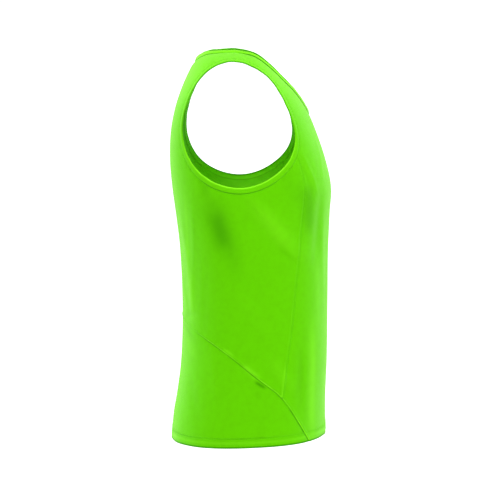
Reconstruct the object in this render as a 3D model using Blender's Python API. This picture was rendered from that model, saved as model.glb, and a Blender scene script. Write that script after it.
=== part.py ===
"""Sports tank top in jersey, worn but with nobody in it: six cut pieces sewn into one open hollow.

Metres, +X to the wearer's front, +Y to the wearer's left, +Z up. The origin lies midway between
the two straps, level with the highest point of the neckline.

Every piece lies on one body form. A place on it is an angle, 0 at the centre front, 90 degrees at
the left side, -90 at the right and 180 at the centre back, and a level, 0 along the top of the
shoulders and rising row by row of RINGS down to the hem. A panel is a grid of such places filled
in between its seams, and its wall goes inwards from there. A band is a folded strip carried along
the edge of the panels.
"""
import math

import bpy
import numpy as np

# Cloth and sewing
WALL = 0.0012            # jersey of the panels
HEM_WALL = 0.0022        # the same, turned up once
HEM_DEPTH = 0.018        # how far the hem is turned up
BAND_WIDTH = 0.0105      # folded strip round the neck and the armholes
BAND_WALL = 0.0021
BAND_PROUD = 0.0003      # how far a band stands above the cloth beside it
NECK_BAND_TILT = math.radians(10)
SEAM_GAP = 0.0003        # between two pieces at a seam

# Seam of the neck band, seen from above: half an ellipse forwards and half of one backwards
NECK_HALF_WIDTH = 0.0965
NECK_FRONT = 0.139
NECK_BACK = 0.068

# Ridge of the shoulders, where the strap halves are sewn together: it falls off as a parabola
RIDGE_TOP = 0.0045
RIDGE_FALL = 1.21        # metres of fall for each square metre of distance from the centre
STRAP_END = 0.148        # distance of the finished armhole edge from the centre
SLOPE_END = -0.13        # the slope of the shoulders has died out at this height

HEM_FRONT = -0.694
HEM_BACK = -0.705

# Rings of the body form, one for each level. Back and front are measured on the centre line, side
# is where the ring is widest, and a squareness of 2 is an ellipse.
HEIGHT, BACK, FRONT, SIDE, HALF_WIDTH, SQUARE_BACK, SQUARE_FRONT = range(7)
RINGS = np.array([
    (0.0045, 0.0000, 0.0000, 0.000, 0.165, 3.20, 3.20),
    (-0.001, -0.0360, 0.033, 0.001, 0.172, 3.10, 3.60),
    (-0.012, -0.0560, 0.052, 0.003, 0.179, 2.90, 4.40),
    (-0.030, -0.0710, 0.071, 0.007, 0.187, 2.80, 4.60),
    (-0.053, -0.0830, 0.092, 0.012, 0.192, 2.90, 3.30),
    (-0.080, -0.0940, 0.116, 0.018, 0.194, 3.10, 2.40),
    (-0.110, -0.1032, 0.134, 0.024, 0.194, 3.20, 2.25),
    (-0.150, -0.1105, 0.151, 0.029, 0.191, 3.10, 2.35),
    (-0.200, -0.1125, 0.168, 0.032, 0.188, 2.90, 2.50),
    (-0.250, -0.1085, 0.1785, 0.034, 0.185, 2.70, 2.50),
    (-0.300, -0.1018, 0.1760, 0.036, 0.182, 2.60, 2.50),
    (-0.360, -0.0948, 0.1735, 0.039, 0.179, 2.50, 2.45),
    (-0.430, -0.0912, 0.1730, 0.041, 0.176, 2.45, 2.40),
    (-0.500, -0.0905, 0.1725, 0.040, 0.175, 2.40, 2.40),
    (-0.560, -0.0925, 0.1720, 0.038, 0.177, 2.40, 2.40),
    (-0.620, -0.1000, 0.1695, 0.034, 0.181, 2.40, 2.40),
    (-0.665, -0.1075, 0.1692, 0.031, 0.184, 2.40, 2.40),
    (-0.712, -0.1115, 0.1706, 0.030, 0.187, 2.40, 2.40),
])
LAST_LEVEL = len(RINGS) - 1

# Finished armhole edge seen from the side, from the shoulder seam forwards, down and round:
# distance forwards and height
ARMHOLE = np.array([
    (0.0000, -0.0220), (0.0360, -0.0310), (0.0670, -0.0530), (0.0890, -0.0855),
    (0.1055, -0.1250), (0.1110, -0.1570), (0.1030, -0.1890), (0.0780, -0.2170),
    (0.0430, -0.2360), (0.0110, -0.2410), (-0.020, -0.2355), (-0.049, -0.2210),
    (-0.070, -0.1990), (-0.083, -0.1700), (-0.0865, -0.138), (-0.081, -0.1050),
    (-0.066, -0.0680), (-0.040, -0.0375),
])
FRONT_SEAM_SHARE = 0.333     # share of the way round the armhole where the front seam begins
UNDERARM_SHARE = 0.68        # share where the underarm turns up into the back edge

# Front seam seen from the side, below the armhole: distance forwards and height
FRONT_SEAM = np.array([
    (0.1230, -0.2150), (0.1270, -0.2550), (0.1220, -0.3060), (0.1165, -0.3700),
    (0.1100, -0.4350), (0.1020, -0.5100), (0.0935, -0.5700),
])
# Hip seam, from the centre back down to the front hem: angle in degrees and height
HIP_SEAM = np.array([
    (180, -0.4835), (167, -0.4850), (154, -0.4905), (142, -0.4995), (129, -0.5115),
    (115, -0.5300), (98, -0.5580), (82, -0.5860), (67, -0.6150), (57, -0.6470), (44, -0.6955),
])
HIP_JUNCTION = 67            # angle at which the front seam meets the hip seam
HIP_TIP = 44                 # angle at which the hip seam meets the hem
HIP_MIDDLE = 134             # angle on the hip seam below the back end of the underarm

# Grid steps along each seam, which pieces that share a seam share as well. "Low" and "high" are
# the stretches of an edge below and along a strap.
HIP_LOW_STEPS, FRONT_SEAM_STEPS, UNDERARM_STEPS, SHOULDER_STEPS = 7, 16, 12, 4
ARM_FRONT_LOW, ARM_FRONT_HIGH = 4, 6
ARM_BACK_LOW, ARM_BACK_HIGH = 5, 3
NECK_FRONT_LOW, NECK_FRONT_HIGH = 4, 6
NECK_BACK_LOW, NECK_BACK_HIGH = 2, 3
ARM_FRONT_STEPS = ARM_FRONT_LOW + ARM_FRONT_HIGH
ARM_BACK_STEPS = ARM_BACK_LOW + ARM_BACK_HIGH

# Largest soft folds, each on a line over the cloth between two places: side (1 left, -1 right),
# angle and height at each end, half-width, and height of the ridge, or below zero of the trough
FOLDS = (
    (-1, 92, -0.262, 52, -0.372, 0.022, 0.0022),
    (-1, 118, -0.275, 104, -0.400, 0.030, -0.0030),
    (-1, 36, -0.250, 40, -0.380, 0.022, -0.0026),
    (-1, 78, -0.545, 60, -0.600, 0.016, 0.0020),
    (-1, 150, -0.300, 142, -0.470, 0.020, 0.0018),
    (1, 88, -0.268, 56, -0.390, 0.024, 0.0020),
    (1, 114, -0.285, 108, -0.415, 0.030, -0.0028),
    (1, 38, -0.262, 43, -0.365, 0.022, -0.0024),
    (1, 146, -0.310, 152, -0.455, 0.022, 0.0018),
)
FOLD_RADIUS = 0.165          # turns an angle round the body into a distance over the cloth

LIME = (0.127, 0.651, 0.0020, 1.0)
JERSEY_ROUGHNESS = 0.72
SHARP_ANGLE = math.radians(40)
SAME_POINT = 0.00001         # two grids' points this close are one
HALVINGS = 40                # of each search for a place
NUDGES = 4                   # that bring a moved place back onto the body form
HIP_READINGS = 400           # of the hip seam's curve, to read its height at an angle


def rings_at(level):
    """Columns of RINGS at any level: a cubic between the rows, level across the shoulder ridge."""
    slopes = np.gradient(RINGS, axis=0)
    slopes[0, HEIGHT] = 0.0
    row = np.clip(np.floor(level).astype(int), 0, LAST_LEVEL - 1)
    t = (level - row)[..., None]
    return (RINGS[row] * (1 + 2 * t) * (1 - t) ** 2 + slopes[row] * t * (1 - t) ** 2
            + RINGS[row + 1] * t * t * (3 - 2 * t) - slopes[row + 1] * t * t * (1 - t))


def squareness(ring, angle):
    """Exponent of a ring at an angle, turning from that of the front to that of the back."""
    back, front = ring[..., SQUARE_BACK], ring[..., SQUARE_FRONT]
    return back + (front - back) * (0.5 + 0.5 * np.cos(angle))


def body(angle, level):
    """Points of the body form: squared ellipses whose sides drop with the slope of the shoulders."""
    ring = rings_at(level)
    square = squareness(ring, angle)
    forward, left = np.cos(angle), np.sin(angle)
    radius = (np.abs(forward) ** square + np.abs(left) ** square) ** (-1 / square)
    side, height = ring[..., SIDE], ring[..., HEIGHT]
    reach = np.where(forward > 0, ring[..., FRONT] - side, side - ring[..., BACK])
    x = side + reach * radius * forward
    y = ring[..., HALF_WIDTH] * radius * left
    fade = np.clip((height - SLOPE_END) / (RIDGE_TOP - SLOPE_END), 0, 1)
    fade = fade * fade * (3 - 2 * fade)
    return np.stack([x, y, height - RIDGE_FALL * y * y * fade], axis=-1)


def unit(vectors):
    return vectors / np.linalg.norm(vectors, axis=-1, keepdims=True)


def directions(angle, level):
    """How the body form's points move with the angle and with the level."""
    step = 0.001
    round_it = (body(angle + step, level) - body(angle - step, level)) / (2 * step)
    above, below = np.maximum(level - step, 0), np.minimum(level + step, LAST_LEVEL)
    down_it = (body(angle, below) - body(angle, above)) / (below - above)[..., None]
    return round_it, down_it


def outward(angle, level):
    round_it, down_it = directions(angle, level)
    return unit(np.cross(down_it, round_it))


def fold_height(angle, height):
    """Sum of the soft folds: a bell across each line, dying out at both of its ends."""
    turn = (angle + math.pi) % (2 * math.pi) - math.pi
    place = np.stack([turn * FOLD_RADIUS, height], axis=-1)
    total = np.zeros(np.shape(height))
    for side, angle_1, height_1, angle_2, height_2, width, tall in FOLDS:
        start = np.array([side * math.radians(angle_1) * FOLD_RADIUS, height_1])
        line = np.array([side * math.radians(angle_2) * FOLD_RADIUS, height_2]) - start
        length = np.linalg.norm(line)
        along = (place - start) @ line / length ** 2
        off = (place - start) @ np.array([-line[1], line[0]]) / length
        total += tall * np.exp(-2 * (off / width) ** 2 - (2 * along - 1) ** 4)
    return total


def cloth(places):
    """Outer points of the cloth and the directions out of it, at an array of (angle, level)."""
    angle, level = places[..., 0], places[..., 1]
    points, out = body(angle, level), outward(angle, level)
    return points + out * fold_height(angle, points[..., 2])[..., None], out


# Searches: where on the body form a real place lies ------------------------------------------

def level_at(angle, height):
    """Level of a height on the line at an angle, by halving, because the line only falls."""
    low, high = np.zeros(np.shape(angle)), np.full(np.shape(angle), float(LAST_LEVEL))
    for _ in range(HALVINGS):
        middle = (low + high) / 2
        above = body(angle, middle)[..., 2] > height
        low, high = np.where(above, middle, low), np.where(above, high, middle)
    return (low + high) / 2


def place_from_side(forward, height):
    """Place on the left half that is seen from the side at a distance forwards and a height."""
    low, high = np.zeros(np.shape(forward)), np.full(np.shape(forward), math.pi)
    for _ in range(HALVINGS):
        middle = (low + high) / 2
        ahead = body(middle, level_at(middle, height))[..., 0] > forward
        low, high = np.where(ahead, middle, low), np.where(ahead, high, middle)
    angle = (low + high) / 2
    return np.stack([angle, level_at(angle, height)], axis=-1)


def place_from_above(x, y):
    """Place on the left half that is seen from above at x and y: the ring that passes through."""
    low, high = np.zeros(np.shape(x)), np.full(np.shape(x), float(LAST_LEVEL))
    for _ in range(HALVINGS):
        middle = (low + high) / 2
        ring = rings_at(middle)
        side = ring[..., SIDE]
        reach = np.where(x > side, ring[..., FRONT] - side, side - ring[..., BACK])
        forward, left = (x - side) / np.maximum(reach, 1e-9), y / ring[..., HALF_WIDTH]
        angle = np.arctan2(left, forward)
        square = squareness(ring, angle)
        outside = np.abs(forward) ** square + np.abs(left) ** square > 1
        low, high = np.where(outside, middle, low), np.where(outside, high, middle)
    return np.stack([angle, middle], axis=-1)


def place_on_ridge(y, in_front):
    """Place on the shoulder ridge at a distance y from the centre, as the front or back sees it."""
    left = np.asarray(y) / RINGS[0, HALF_WIDTH]
    square = RINGS[0, SQUARE_FRONT]
    angle = np.arctan2(left, (1 - left ** square) ** (1 / square))
    return np.stack([angle if in_front else math.pi - angle, 0 * angle], axis=-1)


def slide(places, move):
    """Places moved by small steps in space and brought back onto the body form."""
    target = body(places[..., 0], places[..., 1]) + move
    moved = places.copy()
    for _ in range(NUDGES):
        round_it, down_it = directions(moved[..., 0], moved[..., 1])
        short = target - body(moved[..., 0], moved[..., 1])
        grid = np.stack([round_it, down_it], axis=-1)
        step = np.linalg.solve(np.swapaxes(grid, -1, -2) @ grid,
                               (np.swapaxes(grid, -1, -2) @ short[..., None]))
        moved = moved + step[..., 0]
        moved[..., 1] = np.clip(moved[..., 1], 0, LAST_LEVEL)
    return moved


def smooth_curve(knots, shares, closed=False):
    """Natural cubic through the knots, read at shares of its length."""
    count = len(knots)
    if closed:
        knots = np.concatenate([knots, knots, knots, knots[:1]])
    gaps = np.linalg.norm(np.diff(knots, axis=0), axis=1)
    at = np.concatenate([[0], np.cumsum(gaps)])
    slopes = np.diff(knots, axis=0) / gaps[:, None]
    matrix = np.eye(len(knots))
    bends = np.zeros_like(knots)
    inner = np.arange(1, len(knots) - 1)
    matrix[inner, inner - 1] = gaps[:-1]
    matrix[inner, inner] = 2 * (gaps[:-1] + gaps[1:])
    matrix[inner, inner + 1] = gaps[1:]
    bends[1:-1] = 6 * (slopes[1:] - slopes[:-1])
    bends = np.linalg.solve(matrix, bends)
    first, last = (at[count], at[2 * count]) if closed else (0.0, at[-1])
    where = first + (last - first) * np.asarray(shares)
    row = np.clip(np.searchsorted(at, where, side="right") - 1, 0, len(gaps) - 1)
    gap, t = gaps[row][:, None], ((where - at[row]) / gaps[row])[:, None]
    start, end = knots[row], knots[row + 1]
    return (start * (1 - t) + end * t
            + gap ** 2 / 6 * (((1 - t) ** 3 - (1 - t)) * bends[row]
                              + (t ** 3 - t) * bends[row + 1]))


def shares_of(places):
    """How far along itself each place of a seam is, from 0 to 1."""
    steps = np.linalg.norm(np.diff(body(places[:, 0], places[:, 1]), axis=0), axis=1)
    return np.concatenate([[0], np.cumsum(steps)]) / steps.sum()


def join(*seams):
    """One run of places out of several, each starting where the last one ends."""
    return np.concatenate([seams[0]] + [seam[1:] for seam in seams[1:]])


def fill(bottom, top, start, end):
    """Grid of places between four seams, each grid line easing from one seam to its opposite."""
    u = np.linspace(0, 1, len(bottom))[:, None, None]
    v = np.linspace(0, 1, len(start))[None, :, None]
    sides = (1 - v) * bottom[:, None] + v * top[:, None] + (1 - u) * start[None] + u * end[None]
    corners = ((1 - v) * ((1 - u) * bottom[0] + u * bottom[-1])
               + v * ((1 - u) * top[0] + u * top[-1]))
    return sides - corners


def mirrored(places):
    """The same places on the right half, in reverse, so that their faces still point out."""
    return (places * np.array([-1, 1]))[::-1]


# Seams of the left half -----------------------------------------------------------------------

def hem_seam(angle):
    height = HEM_FRONT + (HEM_BACK - HEM_FRONT) * (0.5 - 0.5 * np.cos(angle))
    return np.stack([angle, level_at(angle, height)], axis=-1)


def hip_seam(first, last, steps):
    """Stretch of the hip seam between two angles in degrees."""
    fine = smooth_curve(HIP_SEAM, np.linspace(0, 1, HIP_READINGS))[::-1]
    angle = np.linspace(first, last, steps + 1)
    height = np.interp(angle, fine[:, 0], fine[:, 1])
    angle = np.radians(angle)
    places = np.stack([angle, level_at(angle, height)], axis=-1)
    if first == HIP_TIP:
        places[0] = hem_seam(angle[:1])[0]
    return places


def armhole_edge():
    """Finished edge of the armhole, from the shoulder forwards and round to the shoulder."""
    shares = join(np.linspace(0, FRONT_SEAM_SHARE, ARM_FRONT_STEPS + 1),
                  np.linspace(FRONT_SEAM_SHARE, UNDERARM_SHARE, UNDERARM_STEPS + 1),
                  np.linspace(UNDERARM_SHARE, 1, ARM_BACK_STEPS + 1))
    edge = place_from_side(*smooth_curve(ARMHOLE, shares, closed=True).T)
    edge[0], edge[-1] = place_on_ridge(STRAP_END, True), place_on_ridge(STRAP_END, False)
    return edge


def armhole_seam():
    """Seam of the armhole band: a band's width from the finished edge, over the cloth."""
    edge = armhole_edge()
    points = body(edge[:-1, 0], edge[:-1, 1])
    along = unit(np.roll(points, -1, axis=0) - np.roll(points, 1, axis=0))
    along = np.concatenate([along, along[:1]])
    seam = slide(edge, BAND_WIDTH * np.cross(along, outward(edge[:, 0], edge[:, 1])))
    end = body(*seam[0])[1]
    seam[0], seam[-1] = place_on_ridge(end, True), place_on_ridge(end, False)
    return seam


def neck_seam(reach, in_front, steps):
    """Seam of the neck band from the centre line to the shoulder seam."""
    turn = np.linspace(0, math.pi / 2, steps + 1)[:-1]
    places = place_from_above(reach * np.cos(turn), NECK_HALF_WIDTH * np.sin(turn))
    return np.concatenate([places, [place_on_ridge(NECK_HALF_WIDTH, in_front)]])


def shoulder_seam(in_front):
    """Shoulder seam from the neck outwards, as the front or the back piece sees it."""
    end = body(*ARM_SEAM[0])[1]
    return place_on_ridge(np.linspace(NECK_HALF_WIDTH, end, SHOULDER_STEPS + 1), in_front)


def front_seam():
    """Front seam from the hip seam up to the armhole."""
    ends = body(*np.stack([ARM_SEAM[ARM_FRONT_STEPS], HIP_LOW[-1]]).T)[:, [0, 2]]
    knots = np.concatenate([ends[:1], FRONT_SEAM, ends[1:]])
    places = place_from_side(*smooth_curve(knots, np.linspace(1, 0, FRONT_SEAM_STEPS + 1)).T)
    places[0], places[-1] = HIP_LOW[-1], ARM_SEAM[ARM_FRONT_STEPS]
    return places


def straight(start, end, shares):
    """Places on a straight line over the body form, at shares of its way."""
    shares = np.asarray(shares)[:, None]
    return start + (end - start) * shares


WHOLE_TURN = np.array([2 * math.pi, 0])
ARM_SEAM = armhole_seam()
ARM_FRONT = ARM_SEAM[:ARM_FRONT_STEPS + 1]
UNDERARM = ARM_SEAM[ARM_FRONT_STEPS:ARM_FRONT_STEPS + UNDERARM_STEPS + 1]
ARM_BACK = ARM_SEAM[ARM_FRONT_STEPS + UNDERARM_STEPS:]
NECK_FRONT_SEAM = neck_seam(NECK_FRONT, True, NECK_FRONT_LOW + NECK_FRONT_HIGH)
NECK_BACK_SEAM = neck_seam(-NECK_BACK, False, NECK_BACK_LOW + NECK_BACK_HIGH)
SHOULDER_FRONT, SHOULDER_BACK = shoulder_seam(True), shoulder_seam(False)
HIP_LOW = hip_seam(HIP_TIP, HIP_JUNCTION, HIP_LOW_STEPS)
HIP_SIDE = hip_seam(HIP_JUNCTION, HIP_MIDDLE, UNDERARM_STEPS)
HIP_BACK = hip_seam(HIP_MIDDLE, 180, SHOULDER_STEPS + NECK_BACK_LOW)
FRONT_SEAM_UP = front_seam()


# Panels as grids of places, from the front round to the back and from the hem up ----------------

def across(start, end):
    """Line over the body form at the foot of a strap."""
    return straight(start, end, np.linspace(0, 1, SHOULDER_STEPS + 1))


def front_grids():
    """Front panel: a block over the chest and down to the hem, and one for each strap."""
    arm = ARM_FRONT[::-1]
    neck_low, neck_high = NECK_FRONT_SEAM[:NECK_FRONT_LOW + 1], NECK_FRONT_SEAM[NECK_FRONT_LOW:]
    arm_low, arm_high = arm[:ARM_FRONT_LOW + 1], arm[ARM_FRONT_LOW:]
    foot = across(neck_low[-1], arm_low[-1])
    strap = fill(foot, SHOULDER_FRONT, neck_high, arm_high)
    top, side = join(neck_low, foot), join(HIP_LOW, FRONT_SEAM_UP, arm_low)
    bottom = hem_seam(math.radians(HIP_TIP) * shares_of(top))
    half = fill(bottom, top, straight(bottom[0], top[0], shares_of(side)), side)
    return [np.concatenate([mirrored(half), half[1:]]), strap, mirrored(strap)]


def upper_back_grids():
    """Upper back panel: a block across the back, one for each strap, and one under each arm."""
    neck_low, neck_high = NECK_BACK_SEAM[:NECK_BACK_LOW + 1], NECK_BACK_SEAM[NECK_BACK_LOW:]
    arm_low, arm_high = ARM_BACK[:ARM_BACK_LOW + 1], ARM_BACK[ARM_BACK_LOW:]
    foot = across(arm_low[-1], neck_low[-1])
    strap = fill(foot, SHOULDER_BACK[::-1], arm_high, neck_high)
    turn = straight(HIP_BACK[0], ARM_BACK[0], shares_of(FRONT_SEAM_UP))
    side = fill(HIP_SIDE, UNDERARM, FRONT_SEAM_UP, turn)
    top, start = join(foot, neck_low[::-1]), join(turn, arm_low)
    half = fill(HIP_BACK, top, start, straight(HIP_BACK[-1], top[-1], shares_of(start)))
    whole = np.concatenate([half, (mirrored(half) + WHOLE_TURN)[1:]])
    return [whole, strap, mirrored(strap), side, mirrored(side)]


def lower_back_grid():
    """Lower back panel, between the hip seam and the hem."""
    top = join(HIP_SIDE, HIP_BACK)
    tip = math.radians(HIP_TIP)
    bottom = hem_seam(tip + (math.pi - tip) * shares_of(top))
    half = fill(bottom, top, HIP_LOW, straight(bottom[-1], top[-1], shares_of(HIP_LOW)))
    return np.concatenate([half, (mirrored(half) + WHOLE_TURN)[1:]])


# Solids ---------------------------------------------------------------------------------------

def jersey(name):
    """Matt knitted polyester."""
    material = bpy.data.materials.new(name)
    material.use_nodes = True
    shader = material.node_tree.nodes["Principled BSDF"]
    shader.inputs["Base Color"].default_value = LIME
    shader.inputs["Roughness"].default_value = JERSEY_ROUGHNESS
    shader.inputs["Metallic"].default_value = 0.0
    return material


def make_object(name, points, faces):
    mesh = bpy.data.meshes.new(name)
    mesh.from_pydata(points.tolist(), [], faces)
    mesh.materials.append(jersey(name + "_jersey"))
    mesh.shade_smooth()
    mesh.set_sharp_from_angle(angle=SHARP_ANGLE)
    piece = bpy.data.objects.new(name, mesh)
    bpy.context.collection.objects.link(piece)
    return piece


def quads_of(numbers):
    """Faces of a grid of point numbers."""
    return np.stack([numbers[:-1, :-1], numbers[1:, :-1], numbers[1:, 1:], numbers[:-1, 1:]],
                    axis=-1).reshape(-1, 4)


def make_panel(name, grids):
    """Panel: its grids joined into one sheet, drawn back from its seams, and walled inwards."""
    points, outs, quads, count = [], [], [], 0
    for grid in grids:
        outer, out = cloth(grid)
        points.append(outer.reshape(-1, 3))
        outs.append(out.reshape(-1, 3))
        quads.append(quads_of(np.arange(out[..., 0].size).reshape(out.shape[:2])) + count)
        count += out[..., 0].size
    outer, out, quads = np.concatenate(points), np.concatenate(outs), np.concatenate(quads)
    apart = np.linalg.norm(outer[:, None] - outer[None], axis=-1)
    kept, same = np.unique((apart < SAME_POINT).argmax(axis=1), return_inverse=True)
    outer, out, quads = outer[kept], out[kept], same[quads]

    sides = {(int(a), int(b)) for quad in quads for a, b in zip(quad, np.roll(quad, -1))}
    rim = sorted(edge for edge in sides if edge[::-1] not in sides)
    inward = np.zeros_like(outer)
    for a, b in rim:
        into = unit(np.cross(out[a] + out[b], outer[b] - outer[a]))
        inward[a] += into
        inward[b] += into
    size = (inward ** 2).sum(axis=1, keepdims=True)
    outer = outer + SEAM_GAP * inward / np.where(size > 0, size, 1)

    turned_up = outer[:, 2] < (HEM_FRONT + HEM_BACK) / 2 + HEM_DEPTH
    wall = np.where(turned_up, HEM_WALL, WALL)[:, None]
    total = len(outer)
    faces = quads.tolist() + (quads[:, ::-1] + total).tolist()
    faces += [(b, a, a + total, b + total) for a, b in rim]
    return make_object(name, np.concatenate([outer, outer - wall * out]), faces)


def band_profile():
    """Cross-section of a folded strip: distance from its seam, and height over the cloth."""
    half = BAND_WALL / 2
    middle = BAND_PROUD - half
    turn = np.radians([90, 50, 0, -50, -90])
    fold = np.stack([BAND_WIDTH - half + half * np.cos(turn), middle + half * np.sin(turn)], -1)
    start = SEAM_GAP / 2
    return np.array([(start, BAND_PROUD), *fold, (start, BAND_PROUD - BAND_WALL)])


def make_band(name, places, tilt=0.0):
    """Band round an opening: its profile carried along the seam, leaning out by the tilt."""
    points, out = cloth(places)
    along = unit(np.roll(points, -1, axis=0) - np.roll(points, 1, axis=0))
    over = unit(np.cross(out, along))
    reach = over * math.cos(tilt) + out * math.sin(tilt)
    rise = out * math.cos(tilt) - over * math.sin(tilt)
    profile = band_profile()
    rings = (points[:, None] + profile[None, :, :1] * reach[:, None]
             + profile[None, :, 1:] * rise[:, None])
    count, sides = rings.shape[:2]
    numbers = np.arange(count * sides).reshape(count, sides)
    numbers = np.concatenate([numbers, numbers[:1]])
    numbers = np.concatenate([numbers, numbers[:, :1]], axis=1)
    return make_object(name, rings.reshape(-1, 3), quads_of(numbers).tolist())


for old in list(bpy.data.objects):
    bpy.data.objects.remove(old, do_unlink=True)

make_panel("front_panel", front_grids())
make_panel("upper_back_panel", upper_back_grids())
make_panel("lower_back_panel", [lower_back_grid()])

left_neck = join(NECK_FRONT_SEAM, NECK_BACK_SEAM[::-1])
make_band("neck_band", np.concatenate([left_neck, mirrored(left_neck)[1:-1]]), NECK_BAND_TILT)
make_band("left_armhole_band", ARM_SEAM[:-1])
make_band("right_armhole_band", mirrored(ARM_SEAM)[:-1])
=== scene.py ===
"""Sports tank top in neon lime jersey, filled out as when worn, with nobody in it.

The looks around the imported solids. Metres, +X to the wearer's front, +Y to the wearer's left,
+Z up. The origin lies midway between the straps, level with the neckline's highest point. The
file follows the top as it is sewn: front panel, upper back, lower back, neck band, armhole bands
and stitching, and then the studio round it.
"""
import math

import bmesh
import bpy
import numpy as np
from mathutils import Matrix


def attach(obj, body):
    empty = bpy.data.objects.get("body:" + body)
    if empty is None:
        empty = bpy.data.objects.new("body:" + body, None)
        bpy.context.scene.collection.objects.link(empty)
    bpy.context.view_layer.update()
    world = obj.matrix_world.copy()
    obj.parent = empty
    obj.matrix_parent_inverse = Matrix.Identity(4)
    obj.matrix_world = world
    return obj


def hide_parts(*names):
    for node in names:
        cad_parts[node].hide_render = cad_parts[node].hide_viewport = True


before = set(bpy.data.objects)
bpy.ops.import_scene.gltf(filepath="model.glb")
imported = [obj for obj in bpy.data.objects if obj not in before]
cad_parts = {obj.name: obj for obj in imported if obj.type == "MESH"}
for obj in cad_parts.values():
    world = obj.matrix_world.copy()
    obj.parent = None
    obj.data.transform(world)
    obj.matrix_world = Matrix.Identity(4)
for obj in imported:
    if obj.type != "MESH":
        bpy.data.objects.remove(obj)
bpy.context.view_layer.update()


# Front panel ----------------------------------------------------------------------------------
# The whole front in one cut of thin polyester jersey, with the front halves of both straps. It
# ends on each side at a curved front seam and, below that, at the slanted hip seam. What all the
# pieces share is worked out here: the form they lie on, the cut, the folds and the jersey.
#
# A place on the form is an angle, 0 at the centre front, 90 degrees at the left side, -90 at the
# right and 180 at the centre back, and a level, 0 along the top of the shoulders and rising row
# by row of RINGS down to the hem.

BAND_WIDTH = 0.0105      # folded strip round the neck and the armholes
HEM_DEPTH = 0.017        # from the hem's edge up to its stitching

# Seam of the neck band, seen from above: half an ellipse forwards and half of one backwards
NECK_HALF_WIDTH = 0.0965
NECK_FRONT = 0.139
NECK_BACK = 0.068

# Ridge of the shoulders, where the strap halves are sewn together: it falls off as a parabola
RIDGE_TOP = 0.0045
RIDGE_FALL = 1.21        # metres of fall for each square metre of distance from the centre
STRAP_END = 0.148        # distance of the finished armhole edge from the centre
SLOPE_END = -0.13        # the slope of the shoulders has died out at this height

HEM_FRONT = -0.694
HEM_BACK = -0.705

# Rings of the body form, one for each level. Back and front are measured on the centre line, side
# is where the ring is widest, and a squareness of 2 is an ellipse.
HEIGHT, BACK, FRONT, SIDE, HALF_WIDTH, SQUARE_BACK, SQUARE_FRONT = range(7)
RINGS = np.array([
    (0.0045, 0.0000, 0.0000, 0.000, 0.165, 3.20, 3.20),
    (-0.001, -0.0360, 0.033, 0.001, 0.172, 3.10, 3.60),
    (-0.012, -0.0560, 0.052, 0.003, 0.179, 2.90, 4.40),
    (-0.030, -0.0710, 0.071, 0.007, 0.187, 2.80, 4.60),
    (-0.053, -0.0830, 0.092, 0.012, 0.192, 2.90, 3.30),
    (-0.080, -0.0940, 0.116, 0.018, 0.194, 3.10, 2.40),
    (-0.110, -0.1032, 0.134, 0.024, 0.194, 3.20, 2.25),
    (-0.150, -0.1105, 0.151, 0.029, 0.191, 3.10, 2.35),
    (-0.200, -0.1125, 0.168, 0.032, 0.188, 2.90, 2.50),
    (-0.250, -0.1085, 0.1785, 0.034, 0.185, 2.70, 2.50),
    (-0.300, -0.1018, 0.1760, 0.036, 0.182, 2.60, 2.50),
    (-0.360, -0.0948, 0.1735, 0.039, 0.179, 2.50, 2.45),
    (-0.430, -0.0912, 0.1730, 0.041, 0.176, 2.45, 2.40),
    (-0.500, -0.0905, 0.1725, 0.040, 0.175, 2.40, 2.40),
    (-0.560, -0.0925, 0.1720, 0.038, 0.177, 2.40, 2.40),
    (-0.620, -0.1000, 0.1695, 0.034, 0.181, 2.40, 2.40),
    (-0.665, -0.1075, 0.1692, 0.031, 0.184, 2.40, 2.40),
    (-0.712, -0.1115, 0.1706, 0.030, 0.187, 2.40, 2.40),
])
LAST_LEVEL = len(RINGS) - 1

# Finished armhole edge seen from the side, from the shoulder seam forwards, down and round:
# distance forwards and height
ARMHOLE = np.array([
    (0.0000, -0.0220), (0.0360, -0.0310), (0.0670, -0.0530), (0.0890, -0.0855),
    (0.1055, -0.1250), (0.1110, -0.1570), (0.1030, -0.1890), (0.0780, -0.2170),
    (0.0430, -0.2360), (0.0110, -0.2410), (-0.020, -0.2355), (-0.049, -0.2210),
    (-0.070, -0.1990), (-0.083, -0.1700), (-0.0865, -0.138), (-0.081, -0.1050),
    (-0.066, -0.0680), (-0.040, -0.0375),
])
FRONT_SEAM_SHARE = 0.333     # share of the way round the armhole where the front seam begins
UNDERARM_SHARE = 0.68        # share where the underarm turns up into the back edge

# Front seam seen from the side, below the armhole: distance forwards and height
FRONT_SEAM = np.array([
    (0.1230, -0.2150), (0.1270, -0.2550), (0.1220, -0.3060), (0.1165, -0.3700),
    (0.1100, -0.4350), (0.1020, -0.5100), (0.0935, -0.5700),
])
# Hip seam, from the centre back down to the front hem: angle in degrees and height
HIP_SEAM = np.array([
    (180, -0.4835), (167, -0.4850), (154, -0.4905), (142, -0.4995), (129, -0.5115),
    (115, -0.5300), (98, -0.5580), (82, -0.5860), (67, -0.6150), (57, -0.6470), (44, -0.6955),
])
HIP_JUNCTION = 67            # angle at which the front seam meets the hip seam
HIP_TIP = 44                 # angle at which the hip seam meets the hem
HIP_MIDDLE = 134             # angle on the hip seam below the back end of the underarm

FINE = 8                     # grid steps here for each step of the solids
HIP_LOW_STEPS, FRONT_SEAM_STEPS = 7 * FINE, 16 * FINE
UNDERARM_STEPS, SHOULDER_STEPS = 12 * FINE, 4 * FINE
ARM_FRONT_LOW, ARM_FRONT_HIGH = 4 * FINE, 6 * FINE
ARM_BACK_LOW, ARM_BACK_HIGH = 5 * FINE, 3 * FINE
NECK_FRONT_LOW, NECK_FRONT_HIGH = 4 * FINE, 6 * FINE
NECK_BACK_LOW, NECK_BACK_HIGH = 2 * FINE, 3 * FINE
ARM_FRONT_STEPS = ARM_FRONT_LOW + ARM_FRONT_HIGH
ARM_BACK_STEPS = ARM_BACK_LOW + ARM_BACK_HIGH

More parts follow.
